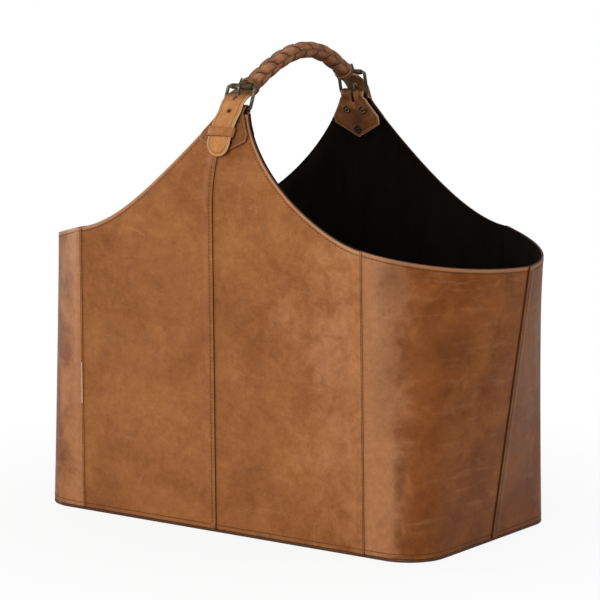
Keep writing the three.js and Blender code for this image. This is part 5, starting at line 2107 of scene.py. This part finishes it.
    def _keeper(self) -> None:
        """Bend the keeper's band round the strap."""
        peak, side = self.peak, self.peak.side
        z = side.peak_z - self.keeper_drop
        gap = self.keeper_thickness / 2.0 + peak.keeper_clearance / 2.0
        outline = RoundedLoop(self.width / 2.0 + gap, peak.strap / 2.0 + gap, self.keeper_corner)
        piece, around, section = Bench.ring(f"{side.name}_loop", 120, 28)
        x, y, out_x, out_y = outline.at(around)
        band, proud = rounded_section(section, self.keeper_band, self.keeper_thickness, self.keeper_edge)
        bow = self.keeper_bow * np.clip(y / outline.half_height, 0.0, 1.0)
        out = peak.strap_run(z) + y + out_y * proud + bow * np.cos(x / outline.half_width * 1.4)
        points = peak.station(z).round(x + out_x * proud, band, out)
        Bench.form(piece, side.to_basket(points))
        Bench.tag_edges(piece, np.maximum(0.0, self.keeper_band / 2.0 - np.abs(band)))
        settle(piece, Finish.KEEPER, f"{side.name}_keeper", angle=50.0)


# Buckles


@dataclass
class Buckle:
    """Wire frame, roller and prong of one roller buckle."""

    peak: Peak
    inner_half_width: float = 13.6 * MM
    pitch: float = 21.3 * MM
    corner_radius: float = 2.3 * MM
    roller_length: float = 23.9 * MM
    roller_radius: float = 2.6 * MM
    bore: float = 1.95 * MM
    prong_radius: float = 1.2 * MM
    prong_tip_radius: float = 0.8 * MM
    eye_radius: float = 3.4 * MM
    eye_width: float = 3.0 * MM
    rest_gap: float = 0.3 * MM
    tip_reach: float = 7.5 * MM
    tip_droop: float = 1.6 * MM
    taper_start: float = 0.45
    flatness: float = 1.15
    crossing: Pair = Strap.crossing

    def build(self) -> None:
        """Make the three pieces."""
        self._frame()
        sleeve = self._tube("sleeve", (40, 32), self.roller_length, self.roller_radius, 0.25 * MM, self.pitch)
        self._settle(sleeve, Body.ROLLER, "roller")
        self._prong()

    def _place(self, x: Array, up: Array, out: Array) -> Array:
        """Points across, up and out of the buckle, in the basket's frame."""
        return self.peak.side.to_basket(self.peak.buckle.round(x, up, out))

    def _settle(self, piece: Piece, body: Body, node: str) -> None:
        """Finish one piece of the buckle, on its body and for its node on this side."""
        side = self.peak.side.name
        settle(piece, Finish.BUCKLE, f"{side}_{node}", angle=40.0, body=body.of(side))

    def _tube(
        self, name: str, cells: tuple[int, int], length: float, radius: float, corner: float, up: float
    ) -> Piece:
        """Turn a tube round an axis that lies across the buckle.

        Args:
            name: the piece's name on its side.
            cells: cells round it and round its section.
            length: its length.
            radius: its outer radius.
            corner: radius of its rounded edges.
            up: how far up the buckle its axis lies.

        Returns:
            The tube.
        """
        piece, around, section = Bench.ring(f"{self.peak.side.name}_{name}", *cells)
        along, proud = rounded_section(section, length, radius - self.bore, corner)
        reach = (radius + self.bore) / 2.0 + proud
        turn = around * math.tau
        Bench.form(piece, self._place(along, up + reach * np.cos(turn), reach * np.sin(turn)))
        return piece

    def _frame(self) -> None:
        """Bend the wire into a loop with round corners."""
        wire = self.peak.wire_radius
        loop = RoundedLoop(self.inner_half_width + wire, self.pitch / 2.0, self.corner_radius)
        piece, around, section = Bench.ring(f"{self.peak.side.name}_wire", 128, 18)
        x, y, out_x, out_y = loop.at(around)
        reach = wire * np.cos(section * math.tau)
        up = y + out_y * reach + self.pitch / 2.0
        Bench.form(piece, self._place(x + out_x * reach, up, wire * np.sin(section * math.tau)))
        self._settle(piece, Body.FRAME, "buckle_frame")

    def _prong(self) -> None:
        """Draw the prong from its eye, through the strap and over the roller."""
        rest = self.roller_radius + self.rest_gap + self.prong_radius
        root = 0.8 * self.eye_radius
        points = [
            (root * 0.9, self.crossing[1] * root / self.crossing[0]),
            self.crossing,
            (self.pitch, rest),
            (self.pitch + self.tip_reach, rest - self.tip_droop),
        ]
        path = Path.through([np.array([0.0, up, out]) for up, out in points])
        piece, along, turn = Bench.bead(f"{self.peak.side.name}_tongue", 18, 60)
        taper = (self.prong_tip_radius - self.prong_radius) * smoothstep(along, self.taper_start, 1.0)
        radius = self.prong_radius + taper
        radius = radius * round_over(np.minimum(along, 1.0 - along) * path.total, radius)
        across, proud = self.flatness * radius * np.cos(turn), radius * np.sin(turn)
        Bench.form(piece, self._place(*path.beside(along * path.total, across, proud).T))
        eye = self._tube("eye", (36, 20), self.eye_width, self.eye_radius, 0.4 * MM, 0.0)
        Bench.combine(piece, eye, "UNION")
        self._settle(piece, Body.PRONG, "prong")


# Handle


@dataclass
class Handle:
    """Four wide laces plaited round a core, bound at both ends."""

    front: HandleEnd
    back: HandleEnd
    front_arm: float = 59.6 * MM
    back_arm: float = 71.6 * MM
    core_radius: float = 5.0 * MM
    core_setback: float = 6.0 * MM
    lace_cells: tuple[int, int] = (12, 260)
    lace_crowding: float = 0.92
    lace_width: float = 13.2 * MM
    lace_thickness: float = 1.7 * MM
    lace_radius: float = 5.6 * MM
    weave: float = 0.95 * MM
    weave_crispness: float = 1.9
    pillow: float = 0.85 * MM
    lay: float = 38.0 * MM
    phase: float = 0.785
    collar_cells: tuple[int, int] = (8, 160)
    collar_crowding: float = 0.9
    collar_length: float = 6.0 * MM
    collar_radius: float = 8.55 * MM
    collar_thickness: float = 1.3 * MM
    collar_turns: float = 2.0
    collar_start: float = 2.2
    collar_width: float = 3.1 * MM
    collar_tuck: Pair = (0.9 * MM, 7.0 * MM)
    lace_edge: Pair = (1.6 * MM, 0.12)
    collar_edge: Pair = (0.9 * MM, 0.15)
    shade_ramp: Pair = (0.5 * MM, 3.2 * MM)
    darkening_stretch: Pair = (0.55, 0.95)
    darkening_share: Pair = (0.12, 0.26)
    path: Path = field(init=False)

    def build(self) -> None:
        """Make the core, the laces and the collars."""
        self.path = self._path()
        self._core()
        for number, (way, start) in enumerate(((1, 0), (1, 1), (-1, 0), (-1, 1)), 1):
            self._lace(number, way, start)
        self._collar(FRONT, self.front)
        self._collar(BACK, self.back)

    def _path(self) -> Path:
        """Bow from the front peak to the back one.

        Returns:
            The handle's line.
        """
        front, stop = self.front, BACK.to_basket(self.back.point)
        lead_out = front.point - front.away * self.front_arm
        lead_in = stop - BACK.to_basket(self.back.away) * self.back_arm
        share = np.linspace(0.0, 1.0, 400)[:, None]
        rest = 1.0 - share
        near_front = rest**3 * front.point + 3.0 * share * rest**2 * lead_out
        return Path(near_front + 3.0 * share**2 * rest * lead_in + share**3 * stop)

    def _round(self, length: Array, angle: Array, radius: Array) -> Array:
        """Point round the handle's line."""
        return self.path.beside(length, radius * np.sin(angle), -radius * np.cos(angle))

    @staticmethod
    def _half(edge: Array, thickness: float, reach: float, least: float) -> Array:
        """Half a lace's thickness, rounded off within a reach of its edge to a least share."""
        return thickness / 2.0 * np.sqrt(np.clip(edge / reach, least, 1.0))

    def _core(self) -> None:
        """Draw out the filler rod inside the laces."""
        piece, along, turn = Bench.bead("handle_filler", 24, 90)
        run = self.path.total - 2.0 * self.core_setback
        radius = self.core_radius * round_over(np.minimum(along, 1.0 - along) * run, self.core_radius)
        Bench.form(piece, self._round(self.core_setback + along * run, turn, radius))
        Bench.tag_plain(piece)
        settle(piece, Finish.CORE, "handle_core", angle=60.0)

    def _lace(self, number: int, way: int, start: int) -> None:
        """Lay one lace of the plait.

        Args:
            number: the lace's number.
            way: 1 for the laces that wind right, -1 for those that wind left.
            start: 0 or 1, the half turn that it starts at.
        """
        piece, blank = Bench.plate(f"handle_lace_{number}", *self.lace_cells)
        across = Bench.across(blank, self.lace_crowding)
        slope = math.atan(math.tau * self.lace_radius / self.lay)
        side = across * self.lace_width / 2.0
        along = blank[:, 1] * self.path.total
        length = np.clip(along - way * side * math.sin(slope), 0.0, self.path.total)
        wound = way * math.tau * along / self.lay + start * math.pi + self.phase
        angle = wound + side * math.cos(slope) / self.lace_radius
        over = np.tanh(self.weave_crispness * way * np.cos(2.0 * (angle - self.phase)))
        buried = 0.5 - 0.5 * over
        pillow = self.pillow * (1.0 - across**2) * (1.0 - buried)
        edge = self.lace_width / 2.0 - np.abs(side)
        half = self._half(edge, self.lace_thickness, *self.lace_edge)
        middle = self.lace_radius + self.weave * over
        radius = np.where(blank[:, 2] > 0.5, middle + pillow + half, middle - half)
        Bench.form(piece, self._round(length, angle, radius))
        Bench.tag_edges(piece, edge)
        # Painted shade at the lace edges and where a lace dives under the others.
        sunk = np.maximum(0.5 * (1.0 - smoothstep(edge, *self.shade_ramp)), 0.6 * buried)
        # Darker towards the back end of the handle.
        least, more = self.darkening_share
        darkening = least + more * smoothstep(length / self.path.total, *self.darkening_stretch)
        Bench.tag(piece, "stain_and_shade", sunk + darkening * (1.0 - sunk))
        # Painted highlight on the crown of each lace where it lies on top.
        Bench.tag(piece, "rub", 0.5 * (1.0 - across**2) * (1.0 - buried))
        Bench.map_flat(piece, np.stack([side, along], axis=-1))
        settle(piece, Finish.BRAID, "handle_braid", angle=60.0)

    def _collar(self, side: Side, end: HandleEnd) -> None:
        """Wind the narrow lace that binds the plait's end.

        Args:
            side: the side.
            end: the plait's end there.
        """
        place = Station(end.point, -end.away, np.cross(ACROSS, -end.away))
        piece, blank = Bench.plate(f"{side.name}_binding", *self.collar_cells)
        across = Bench.across(blank, self.collar_crowding) * self.collar_width / 2.0
        share = blank[:, 1]
        run = self.collar_turns * math.tau
        angle = share * run + self.collar_start
        rise = self.collar_width / 2.0 + share * (self.collar_length - self.collar_width) + across
        edge = self.collar_width / 2.0 - np.abs(across)
        half = self._half(edge, self.collar_thickness, *self.collar_edge)
        ends = np.minimum(share, 1.0 - share) * run * self.collar_radius
        tuck, reach = self.collar_tuck
        tucked = tuck * (1.0 - smoothstep(ends, 0.0, reach))
        radius = self.collar_radius - tucked + np.where(blank[:, 2] > 0.5, half, -half)
        points = place.round(radius * np.cos(angle), rise, radius * np.sin(angle))
        Bench.form(piece, side.to_basket(points))
        Bench.tag_edges(piece, edge)
        settle(piece, Finish.BINDING, f"{side.name}_collar", angle=60.0)


# Studio


@dataclass(frozen=True)
class Softbox:
    """A soft lamp: where it hangs, its size, its power and its colour."""

    name: str
    place: Place
    size: Pair
    watts: float
    colour: Colour = (1.0, 1.0, 1.0)


@dataclass
class Studio:
    """White floor, soft lamps and the camera."""

    camera_place: Place = (1.4104, -1.9455, 0.5525)
    camera_aim: Place = (0.00772, -0.00066, 0.2031)
    lens: float = 154.15
    sensor: float = 36.0
    far: float = 50.0
    lamp_aim: Place = (0.0, 0.0, 0.2)
    floor_radius: float = 6.0
    floor_z: float = -0.2 * MM
    shadow_reach: Pair = (0.15, 0.6)
    shadow_share: float = 0.1
    ambient: float = 0.3
    lamps: tuple[Softbox, ...] = (
        Softbox("key_softbox", (0.55, -2.75, 1.1), (1.4, 1.7), 60.0),
        Softbox("left_softbox", (-2.7, -0.5, 0.9), (0.6, 1.6), 33.0, (1.0, 0.94, 0.86)),
        Softbox("top_softbox", (0.0, 0.8, 2.4), (1.6, 1.2), 14.0),
        Softbox("right_softbox", (2.3, 1.3, 0.8), (0.6, 1.4), 17.0, (1.0, 0.9, 0.76)),
    )

    def build(self) -> None:
        """Set up the studio."""
        camera = bpy.data.cameras.new("camera")
        camera.lens = self.lens
        camera.sensor_width = self.sensor
        camera.clip_end = self.far
        bpy.context.scene.camera = self._hang("camera", camera, self.camera_place, self.camera_aim)
        for lamp in self.lamps:
            light = bpy.data.lights.new(lamp.name, "AREA")
            light.shape = "RECTANGLE"
            light.size, light.size_y = lamp.size
            light.energy = lamp.watts
            light.color = lamp.colour
            self._hang(lamp.name, light, lamp.place, self.lamp_aim)
        self._floor()
        self._world()
        bpy.context.scene.view_settings.view_transform = "Standard"

    @staticmethod
    def _hang(name: str, data: bpy.types.ID, place: Place, aim: Place) -> bpy.types.Object:
        """Hang a camera or a lamp.

        Args:
            name: its name.
            data: the camera or the lamp.
            place: where it hangs.
            aim: where it points.

        Returns:
            The hung object.
        """
        hung = bpy.data.objects.new(name, data)
        bpy.context.scene.collection.objects.link(hung)
        turn = (Vector(aim) - Vector(place)).to_track_quat("-Z", "Y").to_matrix().to_4x4()
        hung.matrix_world = Matrix.Translation(place) @ turn
        return hung

    def _floor(self) -> None:
        """Lay the round white floor that keeps a faint shadow near the basket."""
        sizes = {"vertices": 96, "radius": self.floor_radius, "location": (0.0, 0.0, self.floor_z)}
        floor = Bench.blank("floor", "circle", fill_type="NGON", **sizes)
        desk, material = new_material("white_floor")
        desk.tree.nodes.clear()
        diffuse = desk.add("BsdfDiffuse", {"Color": (0.6, 0.6, 0.6)}).outputs[0]
        bright = desk.add("Emission", {"Color": (1.0, 1.0, 1.0), "Strength": 1.0}).outputs[0]
        away = desk.vector("LENGTH", {0: desk.place()}, "Value")
        clean = desk.spread(away, *self.shadow_reach, 1.0 - self.shadow_share, 1.0)
        seen = desk.add("LightPath").outputs["Is Camera Ray"]
        share = desk.maths("MULTIPLY", clean, seen)
        mixed = desk.add("MixShader", {0: share, 1: diffuse, 2: bright})
        desk.add("OutputMaterial", {0: mixed.outputs[0]})
        floor.data.materials.append(material)

    def _world(self) -> None:
        """White background, with a softer light on the basket."""
        world = bpy.context.scene.world or bpy.data.worlds.new("studio")
        bpy.context.scene.world = world
        world.use_nodes = True
        world.node_tree.nodes.clear()
        desk = Desk(world.node_tree)
        rays = desk.add("LightPath").outputs
        seen = desk.maths("MAXIMUM", rays["Is Camera Ray"], rays["Is Transmission Ray"])
        strength = desk.maths("MULTIPLY_ADD", seen, 1.0 - self.ambient, self.ambient)
        background = desk.add("Background", {"Color": (1.0, 1.0, 1.0), "Strength": strength})
        desk.add("OutputWorld", {0: background.outputs[0]})


def main() -> None:
    """Build the basket sub-assembly by sub-assembly, then the studio."""
    logging.basicConfig(level=logging.INFO, format="%(name)s: %(message)s")
    front, back = Peak(FRONT), Peak(BACK)
    ends = (HandleEnd.of(front, angle=30.0), HandleEnd.of(back, angle=37.0))
    parts = [Walls(), Base(), Stitching()]
    for peak, end in zip((front, back), ends):
        parts += [Chape(peak), Strap(peak, end), Buckle(peak)]
    for part in (*parts, Handle(*ends), Studio()):
        part.build()
        log.info("%s done", type(part).__name__)


if __name__ == "__main__":
    main()
